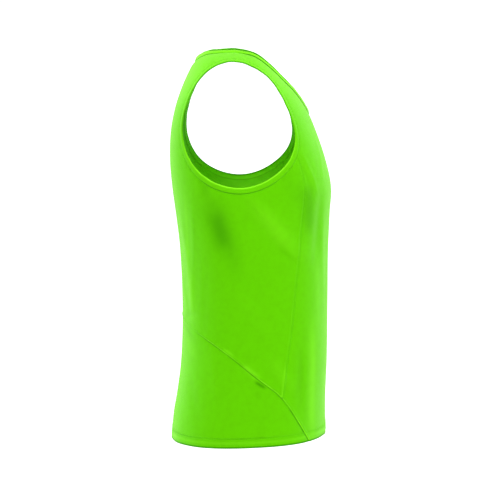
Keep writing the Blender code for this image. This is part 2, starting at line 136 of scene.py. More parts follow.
# Folds of the worn cloth, each on a line over it between two places: side (1 left, -1 right),
# angle and height at each end, half-width, and height of the ridge, or below zero of the trough.
# The first nine are those of the solids, and the finer ones after them are the scene's alone.
FOLDS = (
    (-1, 92, -0.262, 52, -0.372, 0.022, 0.0022),
    (-1, 118, -0.275, 104, -0.400, 0.030, -0.0030),
    (-1, 36, -0.250, 40, -0.380, 0.022, -0.0026),
    (-1, 78, -0.545, 60, -0.600, 0.016, 0.0020),
    (-1, 150, -0.300, 142, -0.470, 0.020, 0.0018),
    (1, 88, -0.268, 56, -0.390, 0.024, 0.0020),
    (1, 114, -0.285, 108, -0.415, 0.030, -0.0028),
    (1, 38, -0.262, 43, -0.365, 0.022, -0.0024),
    (1, 146, -0.310, 152, -0.455, 0.022, 0.0018),
    # right side
    (-1, 79, -0.316, 59, -0.365, 0.010, 0.0010),
    (-1, 70, -0.350, 57, -0.378, 0.006, -0.0008),
    (-1, 49, -0.188, 41, -0.250, 0.006, 0.0010),
    (-1, 53, -0.200, 46, -0.262, 0.008, -0.0008),
    (-1, 54, -0.525, 52, -0.640, 0.014, -0.0014),
    (-1, 97, -0.556, 85, -0.580, 0.012, 0.0016),
    (-1, 89, -0.584, 82, -0.595, 0.006, -0.0012),
    (-1, 66, -0.558, 68, -0.612, 0.0045, 0.0009),
    (-1, 156, -0.478, 138, -0.470, 0.008, -0.0014),
    (-1, 133, -0.266, 144, -0.460, 0.011, 0.0007),
    (-1, 127, -0.370, 131, -0.505, 0.012, -0.0006),
    (-1, 97, -0.245, 63, -0.343, 0.016, 0.0009),
    (-1, 104, -0.430, 78, -0.500, 0.018, 0.0007),
    (-1, 143, -0.590, 127, -0.665, 0.016, -0.0008),
    (-1, 34, -0.269, 27, -0.450, 0.014, 0.0010),
    (-1, 124, -0.531, 116, -0.617, 0.014, 0.0008),
    (-1, 124, -0.205, 121, -0.262, 0.012, -0.0010),
    # left side
    (1, 76, -0.322, 61, -0.372, 0.011, 0.0009),
    (1, 51, -0.196, 43, -0.252, 0.007, 0.0009),
    (1, 57, -0.210, 47, -0.268, 0.008, -0.0008),
    (1, 56, -0.510, 51, -0.630, 0.014, -0.0013),
    (1, 102, -0.548, 90, -0.574, 0.013, 0.0014),
    (1, 84, -0.596, 76, -0.612, 0.007, -0.0010),
    (1, 152, -0.474, 136, -0.468, 0.009, -0.0012),
    (1, 131, -0.280, 141, -0.490, 0.011, 0.0010),
    (1, 125, -0.390, 128, -0.520, 0.010, -0.0009),
    (1, 100, -0.250, 66, -0.335, 0.016, 0.0008),
    (1, 108, -0.440, 84, -0.505, 0.018, 0.0008),
    (1, 140, -0.585, 129, -0.668, 0.014, -0.0011),
    (1, 121, -0.210, 118, -0.270, 0.012, -0.0010),
    # centre front and centre back
    (-1, 24, -0.160, 33, -0.235, 0.010, 0.0008),
    (1, 22, -0.172, 31, -0.240, 0.011, 0.0007),
    (-1, 14, -0.300, 18, -0.470, 0.018, 0.0010),
    (1, 9, -0.340, 16, -0.520, 0.020, -0.0010),
    (-1, 6, -0.545, 20, -0.640, 0.016, -0.0009),
    (1, 26, -0.560, 34, -0.650, 0.015, 0.0009),
    (-1, 168, -0.200, 160, -0.330, 0.018, -0.0012),
    (1, 172, -0.215, 161, -0.350, 0.020, -0.0011),
    (1, 178, -0.330, 172, -0.470, 0.016, 0.0010),
    (-1, 165, -0.400, 152, -0.465, 0.012, 0.0010),
    (1, 168, -0.410, 150, -0.462, 0.012, -0.0009),
    (-1, 172, -0.520, 163, -0.640, 0.016, 0.0009),
    (1, 160, -0.530, 168, -0.650, 0.016, -0.0009),
)
# Painted light and painted shade: soft lighter and darker places of the cloth, each along a line
# as in FOLDS, with its tint in the last column: 1 is the painted-light lime of a full ridge and -1
# the painted-shade lime of a full trough
PAINTED_LIGHT_AND_SHADE = (
    # right side: under the arm, at the chest and down the back
    (-1, 119, -0.262, 111, -0.358, 0.040, -0.42),
    (-1, 116, -0.290, 113, -0.345, 0.024, -0.42),
    (-1, 124, -0.215, 121, -0.262, 0.013, -0.25),
    (-1, 51, -0.240, 47, -0.322, 0.024, -0.70),
    (-1, 66, -0.215, 57, -0.268, 0.022, -0.20),
    (-1, 83, -0.282, 64, -0.341, 0.022, 0.24),
    (-1, 70, -0.348, 62, -0.368, 0.007, -0.16),
    (-1, 51, -0.195, 43, -0.244, 0.004, 0.24),
    (-1, 140, -0.262, 146, -0.384, 0.007, 0.42),
    (-1, 133, -0.290, 139, -0.384, 0.006, -0.20),
    (-1, 144, -0.397, 143, -0.479, 0.014, 0.30),
    (-1, 39, -0.339, 35, -0.501, 0.013, 0.24),
    # right side: at the hip seam and below it
    (-1, 55, -0.531, 52, -0.600, 0.011, -0.14),
    (-1, 43, -0.490, 40, -0.700, 0.017, 0.80),
    (-1, 98, -0.554, 86, -0.577, 0.007, 0.80),
    (-1, 113, -0.526, 106, -0.537, 0.0035, 0.80),
    (-1, 88, -0.583, 80, -0.594, 0.0040, -1.30),
    (-1, 87, -0.600, 83, -0.612, 0.008, -0.20),
    (-1, 67, -0.560, 68, -0.600, 0.0026, 0.40),
    (-1, 160, -0.494, 142, -0.512, 0.006, -0.30),
    (-1, 154, -0.520, 138, -0.545, 0.014, 0.25),
    # left side, much the same
    (1, 121, -0.262, 110, -0.372, 0.044, -0.30),
    (1, 117, -0.300, 112, -0.366, 0.028, -0.18),
    (1, 122, -0.220, 118, -0.268, 0.013, -0.24),
    (1, 50, -0.248, 45, -0.326, 0.020, -0.56),
    (1, 80, -0.290, 62, -0.350, 0.022, 0.26),
    (1, 72, -0.356, 63, -0.374, 0.007, -0.14),
    (1, 53, -0.200, 44, -0.252, 0.005, 0.20),
    (1, 138, -0.272, 144, -0.390, 0.007, 0.36),
    (1, 146, -0.400, 144, -0.474, 0.014, 0.28),
    (1, 37, -0.350, 36, -0.510, 0.014, 0.22),
    (1, 57, -0.525, 53, -0.610, 0.012, -0.15),
    (1, 42, -0.500, 40, -0.700, 0.018, 0.70),
    (1, 104, -0.546, 91, -0.570, 0.006, 0.50),
    (1, 79, -0.590, 72, -0.603, 0.0040, -0.80),
    (1, 158, -0.496, 141, -0.514, 0.006, -0.28),
    # centre front and centre back
    (-1, 12, -0.220, 16, -0.330, 0.020, -0.18),
    (1, 18, -0.240, 8, -0.360, 0.022, -0.16),
    (-1, 10, -0.520, 22, -0.640, 0.018, 0.20),
    (1, 14, -0.500, 24, -0.620, 0.016, -0.14),
    (-1, 170, -0.190, 161, -0.320, 0.020, -0.22),
    (1, 168, -0.210, 158, -0.350, 0.020, -0.20),
    (1, 177, -0.340, 172, -0.460, 0.016, 0.22),
    (-1, 168, -0.560, 160, -0.650, 0.018, 0.20),
)
FOLD_RADIUS = 0.165          # turns an angle round the body into a distance over the cloth
FOLD_FULL = 0.0100           # height of a ridge and depth of a trough at which their painted light and shade would be full
STRAP_PAINTED_LIGHT = 0.55            # painted light on the cloth on top of the shoulders, where the light from above falls
STRAP_FOOT, STRAP_HEAD = -0.130, -0.040      # heights between which that painted light comes on
HALVINGS = 40                # of each search for a place
NUDGES = 4                   # that bring a moved place back onto the form
HIP_READINGS = 400           # of the hip seam's curve, to read its height at an angle
SLOPE_STEP = 0.001           # in angle and in level, for the slopes of the form


def rings_at(level):
    """Columns of RINGS at any level: a cubic between the rows, level across the shoulder ridge."""
    slopes = np.gradient(RINGS, axis=0)
    slopes[0, HEIGHT] = 0.0
    row = np.clip(np.floor(level).astype(int), 0, LAST_LEVEL - 1)
    t = (level - row)[..., None]
    return (RINGS[row] * (1 + 2 * t) * (1 - t) ** 2 + slopes[row] * t * (1 - t) ** 2
            + RINGS[row + 1] * t * t * (3 - 2 * t) - slopes[row + 1] * t * t * (1 - t))


def squareness(ring, angle):
    """Exponent of a ring at an angle, turning from that of the front to that of the back."""
    back, front = ring[..., SQUARE_BACK], ring[..., SQUARE_FRONT]
    return back + (front - back) * (0.5 + 0.5 * np.cos(angle))


def body(angle, level):
    """Points of the body form: squared ellipses whose sides drop with the shoulders' slope."""
    ring = rings_at(level)
    square = squareness(ring, angle)
    forward, left = np.cos(angle), np.sin(angle)
    radius = (np.abs(forward) ** square + np.abs(left) ** square) ** (-1 / square)
    side, height = ring[..., SIDE], ring[..., HEIGHT]
    reach = np.where(forward > 0, ring[..., FRONT] - side, side - ring[..., BACK])
    x = side + reach * radius * forward
    y = ring[..., HALF_WIDTH] * radius * left
    fade = np.clip((height - SLOPE_END) / (RIDGE_TOP - SLOPE_END), 0, 1)
    fade = fade * fade * (3 - 2 * fade)
    return np.stack([x, y, height - RIDGE_FALL * y * y * fade], axis=-1)


def unit(vectors):
    """The same directions, each of length 1."""
    return vectors / np.linalg.norm(vectors, axis=-1, keepdims=True)


def directions(angle, level):
    """How the body form's points move with the angle and with the level."""
    ahead, behind = body(angle + SLOPE_STEP, level), body(angle - SLOPE_STEP, level)
    round_it = (ahead - behind) / (2 * SLOPE_STEP)
    above, below = np.maximum(level - SLOPE_STEP, 0), np.minimum(level + SLOPE_STEP, LAST_LEVEL)
    down_it = (body(angle, below) - body(angle, above)) / (below - above)[..., None]
    return round_it, down_it


def outward(angle, level):
    """Direction straight out of the body form: across both of the directions over it."""
    round_it, down_it = directions(angle, level)
    return unit(np.cross(down_it, round_it))


def along_lines(table, angle, height):
    """Sum of soft lines over the cloth: across each line a bell, exp(-2 (off / half-width)^2), that
    dies out at both of its ends as exp(-t^4), with t from -1 at one to 1 at the other."""
    total = np.zeros(np.shape(height))
    for side, angle_1, height_1, angle_2, height_2, width, tall in table:
        turn = angle - side * math.radians(angle_1)
        turn = (turn + math.pi) % (2 * math.pi) - math.pi
        place = np.stack([turn * FOLD_RADIUS, height - height_1], axis=-1)
        line = np.array([side * math.radians(angle_2 - angle_1) * FOLD_RADIUS,
                         height_2 - height_1])
        length = np.linalg.norm(line)
        along = place @ line / length ** 2
        off = place @ np.array([-line[1], line[0]]) / length
        total += tall * np.exp(-2 * (off / width) ** 2 - (2 * along - 1) ** 4)
    return total


def cloth(places):
    """Outer points of the cloth and the directions out of it, at an array of (angle, level)."""
    angle, level = places[..., 0], places[..., 1]
    points, out = body(angle, level), outward(angle, level)
    return points + out * along_lines(FOLDS, angle, points[..., 2])[..., None], out


# Searches: where on the body form a real place lies ------------------------------------------

def level_at(angle, height):
    """Level of a height on the line at an angle, by halving, because the line only falls."""
    low, high = np.zeros(np.shape(angle)), np.full(np.shape(angle), float(LAST_LEVEL))
    for _ in range(HALVINGS):
        middle = (low + high) / 2
        above = body(angle, middle)[..., 2] > height
        low, high = np.where(above, middle, low), np.where(above, high, middle)
    return (low + high) / 2


def place_from_side(forward, height):
    """Place on the left half that is seen from the side at a distance forwards and a height."""
    low, high = np.zeros(np.shape(forward)), np.full(np.shape(forward), math.pi)
    for _ in range(HALVINGS):
        middle = (low + high) / 2
        ahead = body(middle, level_at(middle, height))[..., 0] > forward
        low, high = np.where(ahead, middle, low), np.where(ahead, high, middle)
    angle = (low + high) / 2
    return np.stack([angle, level_at(angle, height)], axis=-1)


def place_from_above(x, y):
    """Place on the left half that is seen from above at x and y: the ring that passes through."""
    low, high = np.zeros(np.shape(x)), np.full(np.shape(x), float(LAST_LEVEL))
    for _ in range(HALVINGS):
        middle = (low + high) / 2
        ring = rings_at(middle)
        side = ring[..., SIDE]
        reach = np.where(x > side, ring[..., FRONT] - side, side - ring[..., BACK])
        forward, left = (x - side) / np.maximum(reach, 1e-9), y / ring[..., HALF_WIDTH]
        angle = np.arctan2(left, forward)
        square = squareness(ring, angle)
        outside = np.abs(forward) ** square + np.abs(left) ** square > 1
        low, high = np.where(outside, middle, low), np.where(outside, high, middle)
    return np.stack([angle, middle], axis=-1)


def place_on_ridge(y, in_front):
    """Place on the shoulder ridge at a distance y from the centre, as the front or back sees it."""
    left = np.asarray(y) / RINGS[0, HALF_WIDTH]
    square = RINGS[0, SQUARE_FRONT]
    angle = np.arctan2(left, (1 - left ** square) ** (1 / square))
    return np.stack([angle if in_front else math.pi - angle, 0 * angle], axis=-1)


def slide(places, move):
    """Places moved by small steps in space and brought back onto the body form."""
    target = body(places[..., 0], places[..., 1]) + move
    moved = places.copy()
    for _ in range(NUDGES):
        round_it, down_it = directions(moved[..., 0], moved[..., 1])
        short = target - body(moved[..., 0], moved[..., 1])
        grid = np.stack([round_it, down_it], axis=-1)
        step = np.linalg.solve(np.swapaxes(grid, -1, -2) @ grid,
                               (np.swapaxes(grid, -1, -2) @ short[..., None]))
        moved = moved + step[..., 0]
        moved[..., 1] = np.clip(moved[..., 1], 0, LAST_LEVEL)
    return moved


def smooth_curve(knots, shares, closed=False):
    """Natural cubic through the knots, read at shares of its length."""
    count = len(knots)
    if closed:
        knots = np.concatenate([knots, knots, knots, knots[:1]])
    gaps = np.linalg.norm(np.diff(knots, axis=0), axis=1)
    at = np.concatenate([[0], np.cumsum(gaps)])
    slopes = np.diff(knots, axis=0) / gaps[:, None]
    matrix = np.eye(len(knots))
    bends = np.zeros_like(knots)
    inner = np.arange(1, len(knots) - 1)
    matrix[inner, inner - 1] = gaps[:-1]
    matrix[inner, inner] = 2 * (gaps[:-1] + gaps[1:])
    matrix[inner, inner + 1] = gaps[1:]
    bends[1:-1] = 6 * (slopes[1:] - slopes[:-1])
    bends = np.linalg.solve(matrix, bends)
    first, last = (at[count], at[2 * count]) if closed else (0.0, at[-1])
    where = first + (last - first) * np.asarray(shares)
    row = np.clip(np.searchsorted(at, where, side="right") - 1, 0, len(gaps) - 1)
    gap, t = gaps[row][:, None], ((where - at[row]) / gaps[row])[:, None]
    start, end = knots[row], knots[row + 1]
    return (start * (1 - t) + end * t
            + gap ** 2 / 6 * (((1 - t) ** 3 - (1 - t)) * bends[row]
                              + (t ** 3 - t) * bends[row + 1]))


def shares_of(places):
    """How far along itself each place of a seam is, from 0 to 1."""
    steps = np.linalg.norm(np.diff(body(places[:, 0], places[:, 1]), axis=0), axis=1)
    return np.concatenate([[0], np.cumsum(steps)]) / steps.sum()


def join(*seams):
    """One run of places out of several, each starting where the last one ends."""
    return np.concatenate([seams[0]] + [seam[1:] for seam in seams[1:]])


def fill(bottom, top, start, end):
    """Grid of places between four seams, each grid line easing from one seam to its opposite."""
    u = np.linspace(0, 1, len(bottom))[:, None, None]
    v = np.linspace(0, 1, len(start))[None, :, None]
    sides = (1 - v) * bottom[:, None] + v * top[:, None] + (1 - u) * start[None] + u * end[None]
    corners = ((1 - v) * ((1 - u) * bottom[0] + u * bottom[-1])
               + v * ((1 - u) * top[0] + u * top[-1]))
    return sides - corners


def mirrored(places):
    """The same places on the right half, in reverse, so that their faces still point out."""
    return (places * np.array([-1, 1]))[::-1]


# Seams of the left half -----------------------------------------------------------------------

def hem_height(angle):
    """Height of the hem's edge, falling from the front to the back as a cosine."""
    return HEM_FRONT + (HEM_BACK - HEM_FRONT) * (0.5 - 0.5 * np.cos(angle))


def hem_seam(angle):
    """Places on the hem's edge at an array of angles."""
    return np.stack([angle, level_at(angle, hem_height(angle))], axis=-1)


def hip_seam(first, last, steps):
    """Stretch of the hip seam between two angles in degrees."""
    fine = smooth_curve(HIP_SEAM, np.linspace(0, 1, HIP_READINGS))[::-1]
    angle = np.linspace(first, last, steps + 1)
    height = np.interp(angle, fine[:, 0], fine[:, 1])
    angle = np.radians(angle)
    places = np.stack([angle, level_at(angle, height)], axis=-1)
    if first == HIP_TIP:
        places[0] = hem_seam(angle[:1])[0]
    return places


def armhole_edge():
    """Finished edge of the armhole, from the shoulder forwards and round to the shoulder."""
    shares = join(np.linspace(0, FRONT_SEAM_SHARE, ARM_FRONT_STEPS + 1),
                  np.linspace(FRONT_SEAM_SHARE, UNDERARM_SHARE, UNDERARM_STEPS + 1),
                  np.linspace(UNDERARM_SHARE, 1, ARM_BACK_STEPS + 1))
    edge = place_from_side(*smooth_curve(ARMHOLE, shares, closed=True).T)
    edge[0], edge[-1] = place_on_ridge(STRAP_END, True), place_on_ridge(STRAP_END, False)
    return edge


def armhole_seam():
    """Seam of the armhole band: a band's width from the finished edge, over the cloth."""
    edge = armhole_edge()
    points = body(edge[:-1, 0], edge[:-1, 1])
    along = unit(np.roll(points, -1, axis=0) - np.roll(points, 1, axis=0))
    along = np.concatenate([along, along[:1]])
    seam = slide(edge, BAND_WIDTH * np.cross(along, outward(edge[:, 0], edge[:, 1])))
    end = body(*seam[0])[1]
    seam[0], seam[-1] = place_on_ridge(end, True), place_on_ridge(end, False)
    return seam


def neck_seam(reach, in_front, steps):
    """Seam of the neck band from the centre line to the shoulder seam."""
    turn = np.linspace(0, math.pi / 2, steps + 1)[:-1]
    places = place_from_above(reach * np.cos(turn), NECK_HALF_WIDTH * np.sin(turn))
    return np.concatenate([places, [place_on_ridge(NECK_HALF_WIDTH, in_front)]])


def shoulder_seam(in_front):
    """Shoulder seam from the neck outwards, as the front or the back piece sees it."""
    end = body(*ARM_SEAM[0])[1]
    return place_on_ridge(np.linspace(NECK_HALF_WIDTH, end, SHOULDER_STEPS + 1), in_front)


def front_seam():
    """Front seam from the hip seam up to the armhole."""
    ends = body(*np.stack([ARM_SEAM[ARM_FRONT_STEPS], HIP_LOW[-1]]).T)[:, [0, 2]]
    knots = np.concatenate([ends[:1], FRONT_SEAM, ends[1:]])
    places = place_from_side(*smooth_curve(knots, np.linspace(1, 0, FRONT_SEAM_STEPS + 1)).T)
    places[0], places[-1] = HIP_LOW[-1], ARM_SEAM[ARM_FRONT_STEPS]
    return places


def straight(start, end, shares):
    """Places on a straight line over the body form, at shares of its way."""
    shares = np.asarray(shares)[:, None]
    return start + (end - start) * shares


WHOLE_TURN = np.array([2 * math.pi, 0])
ARM_SEAM = armhole_seam()
ARM_FRONT = ARM_SEAM[:ARM_FRONT_STEPS + 1]
UNDERARM = ARM_SEAM[ARM_FRONT_STEPS:ARM_FRONT_STEPS + UNDERARM_STEPS + 1]
ARM_BACK = ARM_SEAM[ARM_FRONT_STEPS + UNDERARM_STEPS:]
NECK_FRONT_SEAM = neck_seam(NECK_FRONT, True, NECK_FRONT_LOW + NECK_FRONT_HIGH)
NECK_BACK_SEAM = neck_seam(-NECK_BACK, False, NECK_BACK_LOW + NECK_BACK_HIGH)
SHOULDER_FRONT, SHOULDER_BACK = shoulder_seam(True), shoulder_seam(False)
HIP_LOW = hip_seam(HIP_TIP, HIP_JUNCTION, HIP_LOW_STEPS)
HIP_SIDE = hip_seam(HIP_JUNCTION, HIP_MIDDLE, UNDERARM_STEPS)
HIP_BACK = hip_seam(HIP_MIDDLE, 180, SHOULDER_STEPS + NECK_BACK_LOW)
FRONT_SEAM_UP = front_seam()
HIP_WHOLE = join(HIP_LOW, HIP_SIDE, HIP_BACK)
NECK_WHOLE = join(NECK_FRONT_SEAM, NECK_BACK_SEAM[::-1])
SEAMS = {"hip": HIP_WHOLE, "front": FRONT_SEAM_UP, "armhole": ARM_SEAM, "neck": NECK_WHOLE}

# Relief of a sewn edge: the piece whose edge is folded back over the seam allowance stands up
# beside the seam, and the other one sinks to it
RIDGE_TALL, RIDGE_AT, RIDGE_WIDE = 0.0010, 0.0030, 0.0026
NICK_DEEP, NICK_WIDE = 0.0006, 0.0012
DIP_DEEP, DIP_WIDE = 0.0009, 0.0034
PUCKER_TALL, PUCKER_LONG, PUCKER_REACH = 0.00022, 0.0125, 0.008
PUCKER_START = 0.003             # gap at which the puckers begin to stand up
PUCKER_DRIFT, PUCKER_SWELL = 0.037, 0.061        # of run, in which their spacing and height change
PATCH_LONG, PATCH_SHORT = 0.019, 0.0072          # of run, in which a seam's line comes and goes
HEM_FOLD_TALL, HEM_TUNNEL_DEEP, HEM_TUNNEL_WIDE = 0.0005, 0.0006, 0.0022
HEM_STEP_ABOVE, HEM_STEP_WIDE = 0.002, 0.0012    # of the turned-up cloth's inner edge
HEM_WAVE_TALL, HEM_WAVE_REACH = 0.00045, 0.035

# Where the painted shadow and highlight lines in the seams come out and die out, as distances down
# from the neckline's highest point, and on the straps as distances before or behind the ridge of
# the shoulders
HIP_TIGHT = (0.500, 0.514)
HIP_SLACK_AT, HIP_SLACK_REACH, HIP_SLACK_LOSS = 0.628, 0.007, 0.7
HIP_LINE_DARK, HIP_LINE_LIGHT = (0.50, 0.50), (0.55, 1.00)   # steady part and changing part
CHEST_END = (0.240, 0.275)
FRONT_FADE, FRONT_RETURN = (0.300, 0.350), (0.530, 0.560)
FRONT_LINE_LIGHT, FRONT_MIDDLE_SHARE = (0.10, 0.80), 0.3
FLAT_RELIEF = 0.10               # share of the relief where a seam lies almost flat
HIP_FLAT_RELIEF, FRONT_RELIEF = 0.4, 0.35        # the hip's at the back, and what the front's gains
UNDER_ARM = (0.218, 0.240)
UNDER_ARM_MIDDLE = 0.01          # how far forward the underarm's middle lies
UNDER_ARM_DARK, UNDER_ARM_LOSS = 0.85, 3.5       # there, and lost for each metre before it
STRAP_SLOPE = (0.004, 0.040)
NECK_TOP_DARK, NECK_BACK_DARK, NECK_FRONT_DARK = 0.20, 0.40, 1.05
LINE_NARROW = {"neck": 0.42}     # turns a gap into that at which another seam is as dark
# Angles from the centre front between which the painted shade in the hem's stitched line comes out
HEM_LINE_FROM = (math.radians(42), math.radians(100))
DEEPEST, BRIGHTEST = -1.3, 1.2   # limits of a panel's painted shade and painted light
LENGTH_STEPS = 24                # in which a length down the cloth is measured


def beside(points, line):
    """Distance of each point from a sewn line, and how far along the line the nearest place lies:
    the smallest |p - a - t (b - a)| over the line's stretches from a to b, with t from 0 to 1."""
    gaps, runs, run = np.full(len(points), np.inf), np.zeros(len(points)), 0.0
    for start, way in zip(line[:-1], np.diff(line, axis=0)):
        length = np.linalg.norm(way)
        t = np.clip((points - start) @ way / length ** 2, 0, 1)
        gap = np.linalg.norm(points - start - t[:, None] * way, axis=1)
        nearer = gap < gaps
        gaps, runs = np.where(nearer, gap, gaps), np.where(nearer, run + t * length, runs)
        run += length
    return gaps, runs


def edge_relief(gap, run, side, raised):
    """Height beside a seam: a ridge and a nick, or a dip, each a bell of the distance from it, and
    puckers across it, a sine of the way along it that swells and drifts and dies out sideways."""
    if raised:
        height = (RIDGE_TALL * np.exp(-((gap - RIDGE_AT) / RIDGE_WIDE) ** 2)
                  - NICK_DEEP * np.exp(-(gap / NICK_WIDE) ** 2))
    else:
        height = -DIP_DEEP * np.exp(-(gap / DIP_WIDE) ** 2)
    turn = 2 * math.pi * run / PUCKER_LONG + 2.4 * np.sin(run / PUCKER_DRIFT + side) + 1.7 * side
    swell = 0.55 + 0.45 * np.sin(run / PUCKER_SWELL + 2.1 * side)
    rising = 1 - np.exp(-(gap / PUCKER_START) ** 2)
    return height + PUCKER_TALL * swell * np.sin(turn) * rising * np.exp(-gap / PUCKER_REACH)


def aside(angle):
    """Angle from the centre front, the same on both sides: 0 there, and pi at the centre back."""
    return np.abs((angle + math.pi) % (2 * math.pi) - math.pi)


def patchy(run, start):
    """Share between 0 and 1 that comes and goes along a seam, as a slow sine and a quick one."""
    return (0.5 + 0.32 * np.sin(run / PATCH_LONG + start)
            + 0.18 * np.sin(run / PATCH_SHORT + 2 * start))


def eased(value, low, high):
    """0 below low, 1 above high, and an S-curve 3t^2 - 2t^3 between them."""
    t = np.clip((value - low) / (high - low), 0, 1)
    return t * t * (3 - 2 * t)


def seam_lines(kind, points, run, side):
    """How strong the painted shadow line in a seam and the painted highlight line on its folded
    edge are, and the share of its relief. The hip seam is flat at the back and drawn tight from the
    waist down, but for a slack place. The front seam has no painted shadow line and lies almost
    flat, and its painted highlight line starts below the chest and is strongest near its ends. The
    armhole's painted shadow shows under the arm, where the cloth drops away from the band, and the
    neck's on the slope of the straps."""
    forward, down = points[:, 0], -points[:, 2]
    come, go = patchy(run, side), patchy(run, 1.4 + side)
    none = 0.0 * run
    if kind == "hip":
        tight = eased(down, *HIP_TIGHT)
        slack = np.exp(-((down - HIP_SLACK_AT) / HIP_SLACK_REACH) ** 2)
        dark = (HIP_LINE_DARK[0] + HIP_LINE_DARK[1] * come) * tight * (1 - HIP_SLACK_LOSS * slack)
        return (dark, (HIP_LINE_LIGHT[0] + HIP_LINE_LIGHT[1] * go) * tight,
                HIP_FLAT_RELIEF + (1 - HIP_FLAT_RELIEF) * tight)
    if kind == "front":
        low = eased(down, *CHEST_END)
        ends = (FRONT_MIDDLE_SHARE + (1 - FRONT_MIDDLE_SHARE)
                * (1 - eased(down, *FRONT_FADE) + eased(down, *FRONT_RETURN)))
        light = (FRONT_LINE_LIGHT[0] + FRONT_LINE_LIGHT[1] * go * go) * low * ends
        return none, light, FLAT_RELIEF + FRONT_RELIEF * low
    if kind == "armhole":
        under = eased(down, *UNDER_ARM)
        ahead = np.clip(forward - UNDER_ARM_MIDDLE, 0, 0.2)
        return ((UNDER_ARM_DARK - UNDER_ARM_LOSS * ahead) * under, none,
                FLAT_RELIEF + (1 - FLAT_RELIEF) * under)
    dark = (NECK_TOP_DARK + NECK_BACK_DARK * eased(-forward, *STRAP_SLOPE)
            + NECK_FRONT_DARK * eased(forward, *STRAP_SLOPE))
    return dark, none, 1.0


def hem_relief(angle, gap):
    """Height by the distance above the hem: the turned-up cloth ends in a smooth step, a tanh, its
    stitched tunnel is a bell, and two sines round the hem wave it and die out upwards."""
    step = np.tanh((gap - HEM_DEPTH - HEM_STEP_ABOVE) / HEM_STEP_WIDE)
    folded = HEM_FOLD_TALL * (0.5 - 0.5 * step)
    tunnel = HEM_TUNNEL_DEEP * np.exp(-((gap - HEM_DEPTH) / HEM_TUNNEL_WIDE) ** 2)
    wave = np.sin(11 * angle + 1.3 * np.sin(3 * angle)) + 0.6 * np.sin(19 * angle + 0.8)
    return folded - tunnel + HEM_WAVE_TALL * wave * np.exp(-gap / HEM_WAVE_REACH)


def dressed(places, raised, lowered):
    """Finished cloth at an array of places: its outer points, the directions out of it, and what
    its colour follows. That is the distance to the nearest sewn edge, how strong the painted shadow
    line and the painted highlight line there are, the height above the hem, how strong the painted
    shade of its stitched line is, and the painted shade and light. Seams are those of the left
    half, so a point of the right half is measured from its mirror image."""
    angle = places[..., 0]
    form = body(angle, places[..., 1])
    side = np.sign(np.sin(angle)).reshape(-1)
    turned = (form * [1, -1, 1]).reshape(-1, 3)
    turned[:, 1] = np.abs(turned[:, 1])
    hem_gap = form[..., 2] - hem_height(angle)
    height, nearest = hem_relief(angle, hem_gap), np.full(len(turned), np.inf)
    dark, light = np.zeros(len(turned)), np.zeros(len(turned))
    for kinds, up in ((raised, True), (lowered, False)):
        for kind in kinds:
            seam = SEAMS[kind]
            gap, run = beside(turned, body(seam[:, 0], seam[:, 1]))
            line, glint, depth = seam_lines(kind, turned, run, side)
            height = height + (depth * edge_relief(gap, run, side, up)).reshape(height.shape)
            gap = gap * LINE_NARROW.get(kind, 1.0)
            nearer = gap < nearest
            dark, light = np.where(nearer, line, dark), np.where(nearer, glint * up, light)
            nearest = np.minimum(nearest, gap)
    points, out = cloth(places)
    level = form[..., 2]
    # Painted shade and light: from the folds' heights, from the listed places, and on top of the
    # shoulders
    fold = (along_lines(FOLDS, angle, level) / FOLD_FULL + along_lines(PAINTED_LIGHT_AND_SHADE, angle, level)
            + STRAP_PAINTED_LIGHT * eased(level, STRAP_FOOT, STRAP_HEAD))
    # How strong the painted shade in the hem's stitched line is, round the hem
    behind = eased(aside(angle), *HEM_LINE_FROM) * (0.7 + 0.3 * np.sin(7 * angle + 0.6))
    return points + out * height[..., None], out, {
        "seam": nearest, "seam_shadow": dark, "seam_highlight": light,
        "hem": hem_gap.reshape(-1), "hem_shadow_line": behind.reshape(-1),
        "fold": np.clip(fold, DEEPEST, BRIGHTEST).reshape(-1)}


def down_the_cloth(places):
    """Length of cloth from the shoulder ridge down to each place, along the line of its angle."""
    share = np.linspace(0, 1, LENGTH_STEPS + 1)
    line = body(places[..., 0, None] + 0 * share, places[..., 1, None] * share)
    return np.linalg.norm(np.diff(line, axis=-2), axis=-1).sum(axis=-1)


# The jersey: fine columns of loops, a soft mottling, and painted shadows and highlights
# ------------

LIME = (0.128, 0.640, 0.0006, 1.0)
LIME_PAINTED_SHADE = (0.048, 0.330, 0.0002, 1.0)      # painted shade in hollows and sewn edges
LIME_PAINTED_LIGHT = (0.215, 0.830, 0.010, 1.0)     # painted highlight on crests and folded edges
WALE = 0.0011                # from one column of loops to the next
COURSE = 0.0008              # from one row of loops to the next
LOOP_LEAN = 1.6              # how far a loop's legs lean, in courses for each wale
KNIT_TALL = 0.00006
MOTTLE_TALL = 0.0003
MOTTLE_DARK = 0.90           # brightness of the mottling's darkest lime
PANEL_ROUGHNESS, ROUGHNESS_SPREAD = 0.74, 0.05
SHADOW_WIDE = 0.0014         # of the painted shadow line at a sewn edge
GLINT_AT, GLINT_FADE = 0.0015, (0.0003, 0.0014)      # of the painted highlight line on a folded edge
PAINTED_SHADING_SHARE = 0.62             # share of the painted-shade and painted-light limes where the painted shading is full
# Painted shade in the hem's stitched line and along its lower edge, and painted highlight on its
# roll
HEM_LINE_WIDE, HEM_LINE_DARK = 0.0024, 0.38
HEM_EDGE_FADE = (0.0016, 0.0042)     # of the painted shade along the lower edge, above the hem
HEM_ROLL_AT, HEM_ROLL_FADE, HEM_ROLL_BRIGHT = 0.0095, (0.0005, 0.0040), 0.30
# Sockets of a colour mix, by number
MIX_SHARE, MIX_FROM, MIX_TO, MIX_COLOUR = 0, 6, 7, 2


def add_node(nodes, kind, **values):
    """Node of a kind, with its properties set by name."""
    node = nodes.new(kind)
    for name, value in values.items():
        setattr(node, name, value)
    return node


